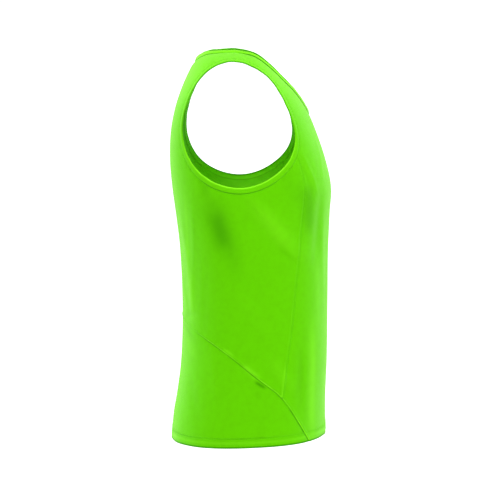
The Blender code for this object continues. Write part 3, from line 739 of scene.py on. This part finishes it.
def set_inputs(node, values):
    """Numbers and colours on a node's own sockets, by the sockets' names."""
    for label, value in values.items():
        node.inputs[label].default_value = value


def maths(group, operation, first, second=None):
    """Result of a sum in a node group, on numbers or sockets."""
    node = add_node(group.nodes, "ShaderNodeMath", operation=operation)
    for socket, value in zip(node.inputs, (first, second)):
        if isinstance(value, (int, float)):
            socket.default_value = value
        elif value is not None:
            group.links.new(value, socket)
    return node.outputs[0]


def new_group(name, inputs, outputs):
    """Empty node group with numbers or colours going in and coming out."""
    group = bpy.data.node_groups.new(name, "ShaderNodeTree")
    kinds = {"number": "NodeSocketFloat", "colour": "NodeSocketColor"}
    for label, kind in inputs:
        group.interface.new_socket(name=label, in_out="INPUT", socket_type=kinds[kind])
    for label, kind in outputs:
        group.interface.new_socket(name=label, in_out="OUTPUT", socket_type=kinds[kind])
    return group, group.nodes.new("NodeGroupInput"), group.nodes.new("NodeGroupOutput")


def jersey_knit():
    """Columns of V-shaped loops over the piece's UV map, which is in metres: each column is a rib
    |sin| across the cloth, and the loops' legs lean in it, so that rows of V's come out."""
    group, given, made = new_group("jersey_knit", [("Wale", "number"), ("Course", "number")],
                                   [("Height", "number"), ("Mottle", "number")])
    nodes, link = group.nodes, group.links.new
    uv = add_node(nodes, "ShaderNodeUVMap", uv_map="cloth")
    split = nodes.new("ShaderNodeSeparateXYZ")
    link(uv.outputs["UV"], split.inputs[0])
    across = maths(group, "DIVIDE", split.outputs["X"], given.outputs["Wale"])
    down = maths(group, "DIVIDE", split.outputs["Y"], given.outputs["Course"])
    fraction = maths(group, "FRACT", across)
    leg = maths(group, "ABSOLUTE", maths(group, "SUBTRACT", fraction, 0.5))
    rib = maths(group, "SINE", maths(group, "MULTIPLY", leg, 2 * math.pi))
    leaning = maths(group, "ADD", down, maths(group, "MULTIPLY", leg, LOOP_LEAN))
    lean = maths(group, "SINE", maths(group, "MULTIPLY", leaning, 2 * math.pi))
    row = maths(group, "ADD", maths(group, "MULTIPLY", lean, 0.35), 0.65)
    link(maths(group, "MULTIPLY", rib, row), made.inputs["Height"])
    mottle = add_node(nodes, "ShaderNodeTexNoise", noise_dimensions="3D")
    set_inputs(mottle, {"Scale": 90.0, "Detail": 3.0, "Roughness": 0.6})
    where = nodes.new("ShaderNodeTexCoord")
    link(where.outputs["Object"], mottle.inputs["Vector"])
    link(mottle.outputs[0], made.inputs["Mottle"])
    return group


def painted_shading_masks():
    """Two masks from what the mesh says of itself. Dark is painted shade: the shadow line in a sewn
    edge, the stitched line and the lower edge of the hem, and the hollows. Bright is painted
    highlight: the line on a folded edge, the roll of the hem, and the crests."""
    group, given, made = new_group("painted_shading_masks", [("Width", "number"), ("Fold", "number")],
                                   [("Dark", "number"), ("Bright", "number")])
    nodes, link = group.nodes, group.links.new

    def measure(name):
        return add_node(nodes, "ShaderNodeAttribute", attribute_name=name).outputs["Fac"]

    def fall(value, start, end, full=1.0):
        node = add_node(nodes, "ShaderNodeMapRange", interpolation_type="SMOOTHSTEP")
        link(value, node.inputs["Value"])
        set_inputs(node, {"From Min": start, "To Min": full, "To Max": 0.0})
        if isinstance(end, float):
            node.inputs["From Max"].default_value = end
        else:
            link(end, node.inputs["From Max"])
        return node.outputs["Result"]

    def away_from(value, middle):
        return maths(group, "ABSOLUTE", maths(group, "SUBTRACT", value, middle))

    # Painted shade goes into Dark and painted highlight into Bright
    seam, hem, fold = measure("seam"), measure("hem"), measure("fold")
    line = maths(group, "MULTIPLY", fall(seam, 0.0, given.outputs["Width"]), measure("seam_shadow"))
    stitched = maths(group, "MULTIPLY", measure("hem_shadow_line"),
                     fall(away_from(hem, HEM_DEPTH), 0.0, HEM_LINE_WIDE, HEM_LINE_DARK))
    edge = fall(hem, *HEM_EDGE_FADE)
    depth = maths(group, "MAXIMUM", maths(group, "MULTIPLY", fold, -1.0), 0.0)
    hollow = maths(group, "MULTIPLY", depth, given.outputs["Fold"])
    dark = maths(group, "MAXIMUM", maths(group, "MAXIMUM", line, stitched),
                 maths(group, "MAXIMUM", edge, hollow))
    link(dark, made.inputs["Dark"])
    glint = maths(group, "MULTIPLY", fall(away_from(seam, GLINT_AT), *GLINT_FADE),
                  measure("seam_highlight"))
    hem_roll = fall(away_from(hem, HEM_ROLL_AT), *HEM_ROLL_FADE, HEM_ROLL_BRIGHT)
    crest = maths(group, "MULTIPLY", maths(group, "MAXIMUM", fold, 0.0), given.outputs["Fold"])
    bright = maths(group, "MAXIMUM", maths(group, "MAXIMUM", glint, hem_roll), crest)
    link(bright, made.inputs["Bright"])
    return group


KNIT, PAINTED_MASKS = jersey_knit(), painted_shading_masks()


def jersey(name, colour, roughness, knit_tall):
    """Matt polyester jersey with its loops and mottling, and its painted shade and highlights along
    edges and folds.
    """
    material = bpy.data.materials.new(name)
    material.use_nodes = True
    nodes, link = material.node_tree.nodes, material.node_tree.links.new
    shader = nodes["Principled BSDF"]
    knit = add_node(nodes, "ShaderNodeGroup", node_tree=KNIT)
    set_inputs(knit, {"Wale": WALE, "Course": COURSE})
    shading_masks = add_node(nodes, "ShaderNodeGroup", node_tree=PAINTED_MASKS)
    set_inputs(shading_masks, {"Width": SHADOW_WIDE, "Fold": PAINTED_SHADING_SHARE})
    shade = tuple(MOTTLE_DARK * part for part in colour[:3]) + (1.0,)
    amount = add_node(nodes, "ShaderNodeMapRange", interpolation_type="SMOOTHSTEP")
    set_inputs(amount, {"From Min": 0.35, "From Max": 0.75, "To Max": 0.5})
    link(knit.outputs["Mottle"], amount.inputs["Value"])
    tinted = colour
    # The painted-light share may pass 1, for the inside of the cloth, which is painted lighter to
    # stand in for light coming through it
    for share, other in ((amount.outputs["Result"], shade), (shading_masks.outputs["Bright"], LIME_PAINTED_LIGHT),
                         (shading_masks.outputs["Dark"], LIME_PAINTED_SHADE)):
        mix = add_node(nodes, "ShaderNodeMix", data_type="RGBA",
                       clamp_factor=other is not LIME_PAINTED_LIGHT)
        link(share, mix.inputs[MIX_SHARE])
        if isinstance(tinted, tuple):
            mix.inputs[MIX_FROM].default_value = tinted
        else:
            link(tinted, mix.inputs[MIX_FROM])
        mix.inputs[MIX_TO].default_value = other
        tinted = mix.outputs[MIX_COLOUR]
    link(tinted, shader.inputs["Base Color"])
    rough = nodes.new("ShaderNodeMapRange")
    set_inputs(rough, {"To Min": roughness - ROUGHNESS_SPREAD,
                       "To Max": roughness + ROUGHNESS_SPREAD})
    link(knit.outputs["Mottle"], rough.inputs["Value"])
    link(rough.outputs["Result"], shader.inputs["Roughness"])
    loops, surface = nodes.new("ShaderNodeBump"), nodes.new("ShaderNodeBump")
    set_inputs(loops, {"Strength": 0.5, "Distance": knit_tall})
    link(knit.outputs["Height"], loops.inputs["Height"])
    set_inputs(surface, {"Strength": 0.4, "Distance": MOTTLE_TALL})
    link(knit.outputs["Mottle"], surface.inputs["Height"])
    link(loops.outputs["Normal"], surface.inputs["Normal"])
    link(surface.outputs["Normal"], shader.inputs["Normal"])
    set_inputs(shader, {"Metallic": 0.0, "Specular IOR Level": 0.012, "Sheen Weight": 0.28,
                        "Sheen Roughness": 0.38, "Sheen Tint": (0.85, 1.0, 0.55, 1.0)})
    return material


PANEL_JERSEY = jersey("lime_jersey", LIME, PANEL_ROUGHNESS, KNIT_TALL)

JERSEY_WALL = 0.0009
HEM_THICK = 0.0021
HEM_THIN = (-0.001, 0.003)   # distances above HEM_DEPTH between which the double wall ends
MERGE = 0.00002              # points nearer than this become one
INSIDE_PAINTED_LIGHT, INSIDE_PAINTED_SHADE = 4.2, 1.4          # painted light and painted shade of the inside, on the scale of the folds' painted shading
INSIDE_MIDDLE, INSIDE_REACH = math.radians(93), math.radians(29)
INSIDE_STRAP_LIGHT = 3.0           # painted light that the top of the straps adds to it
INNER_LINE_LEFT = 0.4        # share of a seam's painted shadow line that shows on the inside
SHARP_ANGLE = math.radians(40)


def quads_of(numbers):
    """Faces of a grid of point numbers."""
    return np.stack([numbers[:-1, :-1], numbers[1:, :-1], numbers[1:, 1:], numbers[:-1, 1:]],
                    axis=-1).reshape(-1, 4)


def cloth_mesh(name, points, quads, uv):
    """Mesh of points and faces, with its UV map in metres over the cloth."""
    mesh = bpy.data.meshes.new(name)
    mesh.from_pydata(points.tolist(), [], quads.tolist())
    layer = mesh.uv_layers.new(name="cloth")
    layer.data.foreach_set("uv", uv[quads.reshape(-1)].astype(np.float32).reshape(-1))
    mesh.shade_smooth()
    return mesh


def finished(mesh, material):
    """Object of a mesh at the origin, riding on the top's one body."""
    mesh.materials.append(material)
    piece = bpy.data.objects.new(mesh.name, mesh)
    bpy.context.collection.objects.link(piece)
    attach(piece, "root")
    return piece


def keep_measures(mesh, measures):
    """Each measure as a vertex attribute, which the jersey's colour follows."""
    for name, values in measures.items():
        layer = mesh.attributes.new(name, "FLOAT", "POINT")
        layer.data.foreach_set("value", np.asarray(values, np.float32).reshape(-1))


def closed_up(mesh):
    """The mesh with its doubled points made one."""
    work = bmesh.new()
    work.from_mesh(mesh)
    bmesh.ops.remove_doubles(work, verts=work.verts[:], dist=MERGE)
    work.to_mesh(mesh)
    work.free()


def make_panel(name, grids, raised, lowered):
    """Panel: its grids joined into one sheet with a wall, double in the hem. The inner point of
    each outer one lies straight in from the body form, so that two panels' cut edges stay flush."""
    parts, uv, quads, count = [], [], [], 0
    for grid in grids:
        outer, out, measures = dressed(grid, raised, lowered)
        for axis, label in enumerate(("out_x", "out_y", "out_z")):
            measures[label] = out[..., axis].reshape(-1)
        measures["angle"] = grid[..., 0].reshape(-1)
        parts.append((outer.reshape(-1, 3), measures))
        uv.append(np.stack([grid[..., 0] * FOLD_RADIUS, -down_the_cloth(grid)], axis=-1))
        quads.append(quads_of(np.arange(outer[..., 0].size).reshape(outer.shape[:2])) + count)
        count += outer[..., 0].size
    mesh = cloth_mesh(name, np.concatenate([points for points, _ in parts]),
                      np.concatenate(quads), np.concatenate([grid.reshape(-1, 2) for grid in uv]))
    keep_measures(mesh, {label: np.concatenate([measures[label] for _, measures in parts])
                         for label in parts[0][1]})
    closed_up(mesh)
    piece = finished(mesh, PANEL_JERSEY)
    shell = piece.modifiers.new("wall", "SOLIDIFY")
    shell.thickness, shell.offset = JERSEY_WALL, -1.0
    ready = piece.evaluated_get(bpy.context.evaluated_depsgraph_get())
    piece.data = bpy.data.meshes.new_from_object(ready)
    piece.modifiers.clear()
    piece.data.name = name
    set_inner_wall(piece.data)
    piece.data.set_sharp_from_angle(angle=SHARP_ANGLE)
    return piece


def inside_painted_shading(angle, height):
    """Painted light and shade of the cloth's inside: palest midway between front and back and under
    the straps, darker towards the front and the back.
    """
    return (INSIDE_PAINTED_LIGHT * np.exp(-((aside(angle) - INSIDE_MIDDLE) / INSIDE_REACH) ** 2)
            - INSIDE_PAINTED_SHADE + INSIDE_STRAP_LIGHT * eased(height, STRAP_FOOT, STRAP_HEAD))


def set_inner_wall(mesh):
    """Inner half of a shell's points: outer point less the wall along the way out. The wall grows
    to a doubled one in the hem."""
    half = len(mesh.vertices) // 2
    read = {}
    for label in ("out_x", "out_y", "out_z", "hem", "angle", "fold", "seam_shadow"):
        read[label] = np.zeros(2 * half, np.float32)
        mesh.attributes[label].data.foreach_get("value", read[label])
    points = np.zeros(6 * half, np.float32)
    mesh.vertices.foreach_get("co", points)
    points = points.reshape(-1, 3)
    out = np.stack([read["out_x"], read["out_y"], read["out_z"]], axis=-1)[:half]
    single = eased(read["hem"][:half], HEM_DEPTH + HEM_THIN[0], HEM_DEPTH + HEM_THIN[1])
    wall = HEM_THICK + (JERSEY_WALL - HEM_THICK) * single
    points[half:] = points[:half] - out * wall[:, None]
    mesh.vertices.foreach_set("co", points.reshape(-1))
    # The inside gets its own painted light and shade, and only part of the seams' painted shadow
    # lines
    read["fold"][half:] = inside_painted_shading(read["angle"][half:], points[half:, 2])
    read["seam_shadow"][half:] *= INNER_LINE_LEFT
    for label in ("fold", "seam_shadow"):
        mesh.attributes[label].data.foreach_set("value", read[label])
    for label in ("out_x", "out_y", "out_z", "angle"):
        mesh.attributes.remove(mesh.attributes[label])


def across(start, end):
    """Line over the body form at the foot of a strap."""
    return straight(start, end, np.linspace(0, 1, SHOULDER_STEPS + 1))


def front_grids():
    """Front panel: a block over the chest and down to the hem, and one for each strap."""
    arm = ARM_FRONT[::-1]
    neck_low, neck_high = NECK_FRONT_SEAM[:NECK_FRONT_LOW + 1], NECK_FRONT_SEAM[NECK_FRONT_LOW:]
    arm_low, arm_high = arm[:ARM_FRONT_LOW + 1], arm[ARM_FRONT_LOW:]
    foot = across(neck_low[-1], arm_low[-1])
    strap = fill(foot, SHOULDER_FRONT, neck_high, arm_high)
    top, side = join(neck_low, foot), join(HIP_LOW, FRONT_SEAM_UP, arm_low)
    bottom = hem_seam(math.radians(HIP_TIP) * shares_of(top))
    half = fill(bottom, top, straight(bottom[0], top[0], shares_of(side)), side)
    return [np.concatenate([mirrored(half), half[1:]]), strap, mirrored(strap)]


front = make_panel("front_jersey", front_grids(), raised=["hip"],
                   lowered=["front", "armhole", "neck"])
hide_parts("front_panel")


# Upper back panel -----------------------------------------------------------------------------
# The back with the back halves of both straps, in the same jersey. It has no side seam: it wraps
# under both arms to the front seams, where its edge is folded over the allowance.

def upper_back_grids():
    """Upper back panel: a block across the back, one for each strap, and one under each arm."""
    neck_low, neck_high = NECK_BACK_SEAM[:NECK_BACK_LOW + 1], NECK_BACK_SEAM[NECK_BACK_LOW:]
    arm_low, arm_high = ARM_BACK[:ARM_BACK_LOW + 1], ARM_BACK[ARM_BACK_LOW:]
    foot = across(arm_low[-1], neck_low[-1])
    strap = fill(foot, SHOULDER_BACK[::-1], arm_high, neck_high)
    turn = straight(HIP_BACK[0], ARM_BACK[0], shares_of(FRONT_SEAM_UP))
    side = fill(HIP_SIDE, UNDERARM, FRONT_SEAM_UP, turn)
    top, start = join(foot, neck_low[::-1]), join(turn, arm_low)
    half = fill(HIP_BACK, top, start, straight(HIP_BACK[-1], top[-1], shares_of(start)))
    whole = np.concatenate([half, (mirrored(half) + WHOLE_TURN)[1:]])
    return [whole, strap, mirrored(strap), side, mirrored(side)]


upper_back = make_panel("upper_back_jersey", upper_back_grids(),
                        raised=["hip", "front"], lowered=["armhole", "neck"])
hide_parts("upper_back_panel")


# Lower back panel -----------------------------------------------------------------------------
# The hip panel under the slanted seam, in the same jersey, one piece round the back from the right
# front hem to the left one. Its upper edge is sewn under the panels above, and its hem turned up.

def lower_back_grid():
    """Lower back panel, between the hip seam and the hem."""
    top = join(HIP_SIDE, HIP_BACK)
    tip = math.radians(HIP_TIP)
    bottom = hem_seam(tip + (math.pi - tip) * shares_of(top))
    half = fill(bottom, top, HIP_LOW, straight(bottom[-1], top[-1], shares_of(HIP_LOW)))
    return np.concatenate([half, (mirrored(half) + WHOLE_TURN)[1:]])


lower_back = make_panel("lower_back_jersey", [lower_back_grid()], raised=[], lowered=["hip"])
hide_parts("lower_back_panel")


# Neck band ------------------------------------------------------------------------------------
# A strip of the same jersey, folded lengthwise and sewn on all round the neckline. It is double, so
# it stands a little proud of the panels, and its folded edge is round, with a painted highlight
# where it looks up and painted shade where it looks down.

BAND_FINE_TALL = 0.00018     # unevenness of a band's height
# Cross-section of a band: distance from its seam and height over the cloth, in millimetres
BAND_SHAPE = np.array([
    (0.00, -0.75), (0.25, -0.20), (0.75, 0.18), (1.60, 0.36), (3.20, 0.48), (5.20, 0.50),
    (7.20, 0.44), (8.60, 0.30), (9.40, 0.08), (10.05, -0.30), (10.42, -0.75), (10.35, -1.20),
    (9.95, -1.55), (9.20, -1.72), (7.00, -1.80), (4.00, -1.80), (1.20, -1.75), (0.00, -1.60),
]) / 1000
# At each point of the cross-section: share of the folded edge's painted highlight where it looks up
# and of its painted shade where it looks down, of the face's painted light, of the inside's painted
# light and shade, and of the painted shadow line inside the edge
BAND_EDGE_HIGHLIGHT = np.array([0, 0, 0, 0, 0, 0, 0, 0.45, 1, 1, 1, 0.6, 0, 0, 0, 0, 0, 0])
BAND_EDGE_SHADE = np.array([0, 0, 0, 0, 0, 0, 0.1, 0.9, 1, 1, 1, 1, 0, 0, 0, 0, 0, 0])
BAND_FACE = np.array([1, 1, 1, 1, 1, 1, 1, 0.3, 0, 0, 0, 0, 0, 0, 0, 0, 0, 0])
BAND_INSIDE = np.array([0, 0, 0, 0, 0, 0, 0, 0, 0, 0, 0, 0, 0, 0, 0.7, 1, 1, 1])
BAND_INNER_SHADE = np.array([0, 0, 0, 0, 0, 0, 0, 0, 0, 0, 0, 1, 1, 1, 0.3, 0, 0, 0])
EDGE_HIGHLIGHT, EDGE_SHADE = 3.0, 1.7    # painted highlight of the folded edge where it faces up, and painted shade where it faces down
EDGE_TURN = 0.35             # rise of the way over the band below which its roll gets painted shade
INNER_PAINTED_SHADE = {"armhole": 1.6, "neck": 0.2}   # depth of the painted shadow line inside the edge
FACE_PAINTED_LIGHT = {"armhole": 0.20, "neck": 0.80}  # painted light of a band's face, low down
BAND_DEEPEST = -1.6          # limit of a band's painted shade
BAND_SHARP_ANGLE = math.radians(60)
BAND_ROUGHNESS = 0.72
BAND_JERSEY = jersey("lime_band_jersey", LIME, BAND_ROUGHNESS, KNIT_TALL)
NECK_BAND_TILT = math.radians(12)


def make_band(name, kind, places, tilt=0.0):
    """Band round an opening: its cross-section carried along the seam, curling out to the tilt
    towards its folded edge, a little higher and lower on the way round."""
    points, out = cloth(places)
    ahead = np.roll(points, -1, axis=0)
    along = unit(ahead - np.roll(points, 1, axis=0))
    over = unit(np.cross(out, along))
    run = np.concatenate([[0], np.cumsum(np.linalg.norm(ahead - points, axis=1))])
    turn = 2 * math.pi * run[:-1] / run[-1]
    uneven = np.sin(17 * turn + 2 * np.sin(5 * turn)) + 0.6 * np.sin(29 * turn + 1.1)
    away = BAND_SHAPE[:, 0] / BAND_WIDTH
    lean = tilt * np.clip(2 * away, 0, 1)
    height = BAND_SHAPE[:, 1] + BAND_FINE_TALL * uneven[:, None] * away
    reach = BAND_SHAPE[:, 0] * np.cos(lean) - height * np.sin(lean)
    rise = BAND_SHAPE[:, 0] * np.sin(lean) + height * np.cos(lean)
    rings = points[:, None] + reach[..., None] * over[:, None] + rise[..., None] * out[:, None]
    rings = np.concatenate([rings, rings[:1]])
    rings = np.concatenate([rings, rings[:, :1]], axis=1)
    around = np.concatenate([[0], np.cumsum(np.linalg.norm(np.diff(rings[0], axis=0), axis=1))])
    uv = np.stack(np.broadcast_arrays(around[None, :], run[:, None]), axis=-1)
    count, sides = rings.shape[:2]
    quads = quads_of(np.arange(count * sides).reshape(count, sides))
    mesh = cloth_mesh(name, rings.reshape(-1, 3), quads, uv.reshape(-1, 2))
    # Painted highlight on the roll of the folded edge where it looks up and painted shade where it
    # looks down, painted light on the face and on top of the straps, a painted shadow line inside
    # the edge, and the inside's painted light and shade
    up = over[:, 2, None]
    high = STRAP_PAINTED_LIGHT * eased(points[:, 2, None], STRAP_FOOT, STRAP_HEAD)
    tint = (EDGE_HIGHLIGHT * np.maximum(up, 0) * BAND_EDGE_HIGHLIGHT
            + EDGE_SHADE * np.clip(up - EDGE_TURN, -1, 0) * BAND_EDGE_SHADE
            + (FACE_PAINTED_LIGHT[kind] + high) * BAND_FACE - INNER_PAINTED_SHADE[kind] * BAND_INNER_SHADE
            + inside_painted_shading(places[:, :1], points[:, 2, None]) * BAND_INSIDE)
    # Painted shadow line along the seam, weaker on the inside
    dark = seam_lines(kind, points, run[:-1], 1.0)[0]
    dark = dark[:, None] * (1 - (1 - INNER_LINE_LEFT) * BAND_INSIDE)
    tint, dark = (np.pad(grid, ((0, 1), (0, 1)), mode="wrap") for grid in (tint, dark))
    whole = np.ones((count, sides))
    gap = np.append(BAND_SHAPE[:, 0], 0.0) * LINE_NARROW.get(kind, 1.0)
    keep_measures(mesh, {"seam": whole * gap, "seam_shadow": dark, "seam_highlight": 0 * whole,
                         "hem": whole, "hem_shadow_line": 0 * whole,
                         "fold": np.maximum(tint, BAND_DEEPEST)})
    closed_up(mesh)
    mesh.set_sharp_from_angle(angle=BAND_SHARP_ANGLE)
    return finished(mesh, BAND_JERSEY)


neck_places = np.concatenate([NECK_WHOLE, mirrored(NECK_WHOLE)[1:-1]])
neck = make_band("neck_band_jersey", "neck", neck_places, NECK_BAND_TILT)
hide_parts("neck_band")


# Armhole bands --------------------------------------------------------------------------------
# The same folded strip round each armhole, sewn on flat. The left one is cut and sewn as a mirror
# image of the right one.

for side, places in (("left", ARM_SEAM[:-1]), ("right", mirrored(ARM_SEAM)[:-1])):
    band = make_band(side + "_armhole_band_jersey", "armhole", places)
    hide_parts(side + "_armhole_band")


# Stitching ------------------------------------------------------------------------------------
# Lime polyester thread, sewn by machine. One row runs along each armhole seam, the neck seam and
# the front and hip seams, and two rows hold the turned-up hem.

STITCH_LONG, STITCH_PITCH, STITCH_THICK = 0.0021, 0.0028, 0.00036
STITCH_UP = 0.35             # share of its thickness by which a stitch's middle lies over its line
STITCH_SIDES = 5
STITCH_LOOK = 0.001          # distance ahead and back over which a stitch's direction is read
# Rings of a stitch: distance from its middle, as a share of half its length, and thickness
BEAD_RINGS = np.array([(-1.0, 0.02), (-0.72, 0.75), (0.0, 1.0), (0.72, 0.75), (1.0, 0.02)])
BESIDE_BAND, BESIDE_SEAM = 0.0017, 0.0024
HEM_ROWS = (HEM_DEPTH - 0.0014, HEM_DEPTH + 0.0014)
HEM_READINGS = 720           # round the hem, for its rows
THREAD_LIME, THREAD_ROUGHNESS, THREAD_TALL = (0.16, 0.69, 0.006, 1.0), 0.62, 0.00002
THREAD = jersey("lime_thread", THREAD_LIME, THREAD_ROUGHNESS, THREAD_TALL)


def beads(points, out):
    """One stitch for each STITCH_PITCH of a line: a short bead with five sides, thickest in its
    middle, lying along the line with its middle a little over it. Each of its rings is a circle
    across the line, its radius from BEAD_RINGS."""
    steps = np.linalg.norm(np.diff(points, axis=0), axis=1)
    run = np.concatenate([[0], np.cumsum(steps)])
    count = max(int(run[-1] / STITCH_PITCH), 1)
    at = (np.arange(count) + 0.5) * run[-1] / count

    def read(values, where):
        return np.stack([np.interp(where, run, values[:, k]) for k in range(3)], axis=-1)

    centre, normal = read(points, at), unit(read(out, at))
    along = unit(read(points, at + STITCH_LOOK) - read(points, at - STITCH_LOOK))
    across_it = unit(np.cross(normal, along))
    share, thick = BEAD_RINGS[:, 0], STITCH_THICK * BEAD_RINGS[:, 1]
    turn = np.arange(STITCH_SIDES) * 2 * math.pi / STITCH_SIDES
    ring = (across_it[:, None] * np.cos(turn)[None, :, None]
            + normal[:, None] * np.sin(turn)[None, :, None])
    spots = (centre[:, None, None] + normal[:, None, None] * STITCH_THICK * STITCH_UP
             + along[:, None, None] * (share * STITCH_LONG / 2)[None, :, None, None]
             + ring[:, None] * thick[None, :, None, None])
    shape = (count, len(BEAD_RINGS), STITCH_SIDES)
    numbers = np.arange(np.prod(shape)).reshape(shape)
    numbers = np.concatenate([numbers, numbers[:, :, :1]], axis=2)
    sides = np.stack([numbers[:, :-1, :-1], numbers[:, :-1, 1:], numbers[:, 1:, 1:],
                      numbers[:, 1:, :-1]], axis=-1).reshape(-1, 4)
    return spots.reshape(-1, 3), sides


def make_stitches(name, rows):
    """Rows of stitches joined into one piece. Each row is places on the form, and the relief of
    the cloth under them."""
    points, quads, count = [], [], 0
    for places, raised, lowered in rows:
        outer, out, _ = dressed(places, raised, lowered)
        spots, sides = beads(outer, out)
        points.append(spots)
        quads.append(sides + count)
        count += len(spots)
    points, quads = np.concatenate(points), np.concatenate(quads)
    mesh = cloth_mesh(name, points, quads, points[:, [0, 2]])
    far_off = np.ones(len(mesh.vertices))
    keep_measures(mesh, {"seam": far_off, "hem": far_off, "seam_shadow": 0 * far_off,
                         "seam_highlight": 0 * far_off, "hem_shadow_line": 0 * far_off, "fold": 0 * far_off})
    piece = finished(mesh, THREAD)
    return piece


def moved_aside(seam, distance):
    """Places at a distance from a seam, over the cloth, to the left of the way it runs as seen from
    outside: on the opening's side of the armhole and neck seams, above the hip seam and in front
    of the front seam. A distance below zero is to the right."""
    points = body(seam[:, 0], seam[:, 1])
    along = unit(np.gradient(points, axis=0))
    return slide(seam, -distance * np.cross(along, outward(seam[:, 0], seam[:, 1])))


arm_row = moved_aside(ARM_SEAM, -BESIDE_BAND)
for side, row in (("left", arm_row), ("right", mirrored(arm_row))):
    make_stitches(side + "_armhole_stitches", [(row, (), ("armhole",))])
# This row lies on the opening's side of the neck seam, so the band covers all of it
neck_row = moved_aside(NECK_WHOLE, BESIDE_BAND)
make_stitches("neck_stitches", [(neck_row, (), ("neck",)), (mirrored(neck_row), (), ("neck",))])
# These rows lie over the front panel at the height of the back's folded edge, so their stitches'
# middles stand up to 0.8 mm over it, where the thread's radius is 0.36 mm
front_row = moved_aside(FRONT_SEAM_UP, BESIDE_SEAM)
for side, row in (("left", front_row), ("right", mirrored(front_row))):
    make_stitches(side + "_front_seam_stitches", [(row, ("front",), ())])
hip_row = moved_aside(HIP_WHOLE, BESIDE_SEAM)
make_stitches("hip_seam_stitches", [(hip_row, ("hip",), ()), (mirrored(hip_row), ("hip",), ())])
turns = np.linspace(-math.pi, math.pi, HEM_READINGS)
make_stitches("hem_stitches", [
    (np.stack([turns, level_at(turns, hem_height(turns) + above)], axis=-1), (), ())
    for above in HEM_ROWS])


# Studio ---------------------------------------------------------------------------------------
# Plain white floor far below the hem, a white room, large soft lights at both sides and above, and
# a long lens from the wearer's right side, a little above the shoulders.

FLOOR_HEIGHT, FLOOR_REACH = -1.9, 400.0
FLOOR_WHITE = 0.9
ROOM_LIGHT, ROOM_SEEN = 0.457, 1.05      # strength of the room's light, and as the camera sees it
WHITE = (1.0, 1.0, 1.0, 1.0)

floor_mesh = bpy.data.meshes.new("floor")
floor_mesh.from_pydata([(x * FLOOR_REACH, y * FLOOR_REACH, FLOOR_HEIGHT)
                        for x, y in ((-1, -1), (1, -1), (1, 1), (-1, 1))], [], [(0, 1, 2, 3)])
floor = bpy.data.objects.new("floor", floor_mesh)
bpy.context.collection.objects.link(floor)
paper = bpy.data.materials.new("white_paper")
paper.use_nodes = True
paper_shader = paper.node_tree.nodes["Principled BSDF"]
set_inputs(paper_shader, {"Base Color": (FLOOR_WHITE, FLOOR_WHITE, FLOOR_WHITE, 1.0),
                          "Roughness": 0.9, "Emission Color": WHITE})
paper_seen = paper.node_tree.nodes.new("ShaderNodeLightPath")
paper.node_tree.links.new(paper_seen.outputs["Is Camera Ray"],
                          paper_shader.inputs["Emission Strength"])
floor_mesh.materials.append(paper)

room = bpy.data.worlds.new("white_room")
bpy.context.scene.world = room
room.use_nodes = True
sky = room.node_tree.nodes["Background"]
sky.inputs["Color"].default_value = WHITE
seen = room.node_tree.nodes.new("ShaderNodeLightPath")
bright = room.node_tree.nodes.new("ShaderNodeMapRange")
set_inputs(bright, {"To Min": ROOM_LIGHT, "To Max": ROOM_SEEN})
room.node_tree.links.new(seen.outputs["Is Camera Ray"], bright.inputs["Value"])
room.node_tree.links.new(bright.outputs["Result"], sky.inputs["Strength"])

# Soft boxes: where each one stands, the point that it faces, its width and height, and its power
SOFT_BOXES = {
    "back_left_box": ((-2.2, 2.4, 0.4), (0.0, 0.0, -0.35), 1.6, 3.0, 67.0),
    "back_right_box": ((2.3, 2.4, 0.4), (0.05, 0.0, -0.35), 1.6, 3.0, 72.0),
    "left_box": ((-2.6, 0.9, 0.3), (0.0, 0.0, -0.35), 1.4, 2.6, 44.0),
    "right_box": ((2.7, 0.7, 0.5), (0.05, 0.0, -0.30), 1.4, 2.6, 23.0),
    "top_box": ((0.1, -0.4, 2.6), (0.03, 0.0, -0.2), 2.2, 2.2, 25.0),
    "high_camera_box": ((0.0, -2.6, 2.4), (0.03, 0.0, -0.35), 2.4, 1.6, 51.0),
    "camera_box": ((1.7, -3.2, 0.8), (0.03, 0.0, -0.35), 1.8, 2.4, 31.0),
}
for name, (place, target, wide, tall, power) in SOFT_BOXES.items():
    lamp = bpy.data.lights.new(name, "AREA")
    lamp.shape, lamp.size, lamp.size_y, lamp.energy = "RECTANGLE", wide, tall, power
    stand = bpy.data.objects.new(name, lamp)
    bpy.context.collection.objects.link(stand)
    way = np.array(target) - np.array(place)
    stand.location = place
    stand.rotation_euler = (math.acos(-way[2] / np.linalg.norm(way)), 0.0,
                            math.atan2(way[1], way[0]) - math.pi / 2)

CAMERA_PLACE, CAMERA_DOWN = (0.032, -4.73, 0.083), math.radians(5.4346)
LENS_LONG, FILM_WIDE = 188.35, 36.0      # in millimetres
SEEN_TO = 1000.0             # distance to which the camera sees
lens = bpy.data.cameras.new("camera")
lens.lens, lens.sensor_width, lens.clip_end = LENS_LONG, FILM_WIDE, SEEN_TO
camera = bpy.data.objects.new("camera", lens)
camera.location = CAMERA_PLACE
camera.rotation_euler = (math.pi / 2 - CAMERA_DOWN, 0.0, 0.0)
bpy.context.collection.objects.link(camera)
bpy.context.scene.camera = camera
bpy.context.scene.view_settings.view_transform = "Standard"
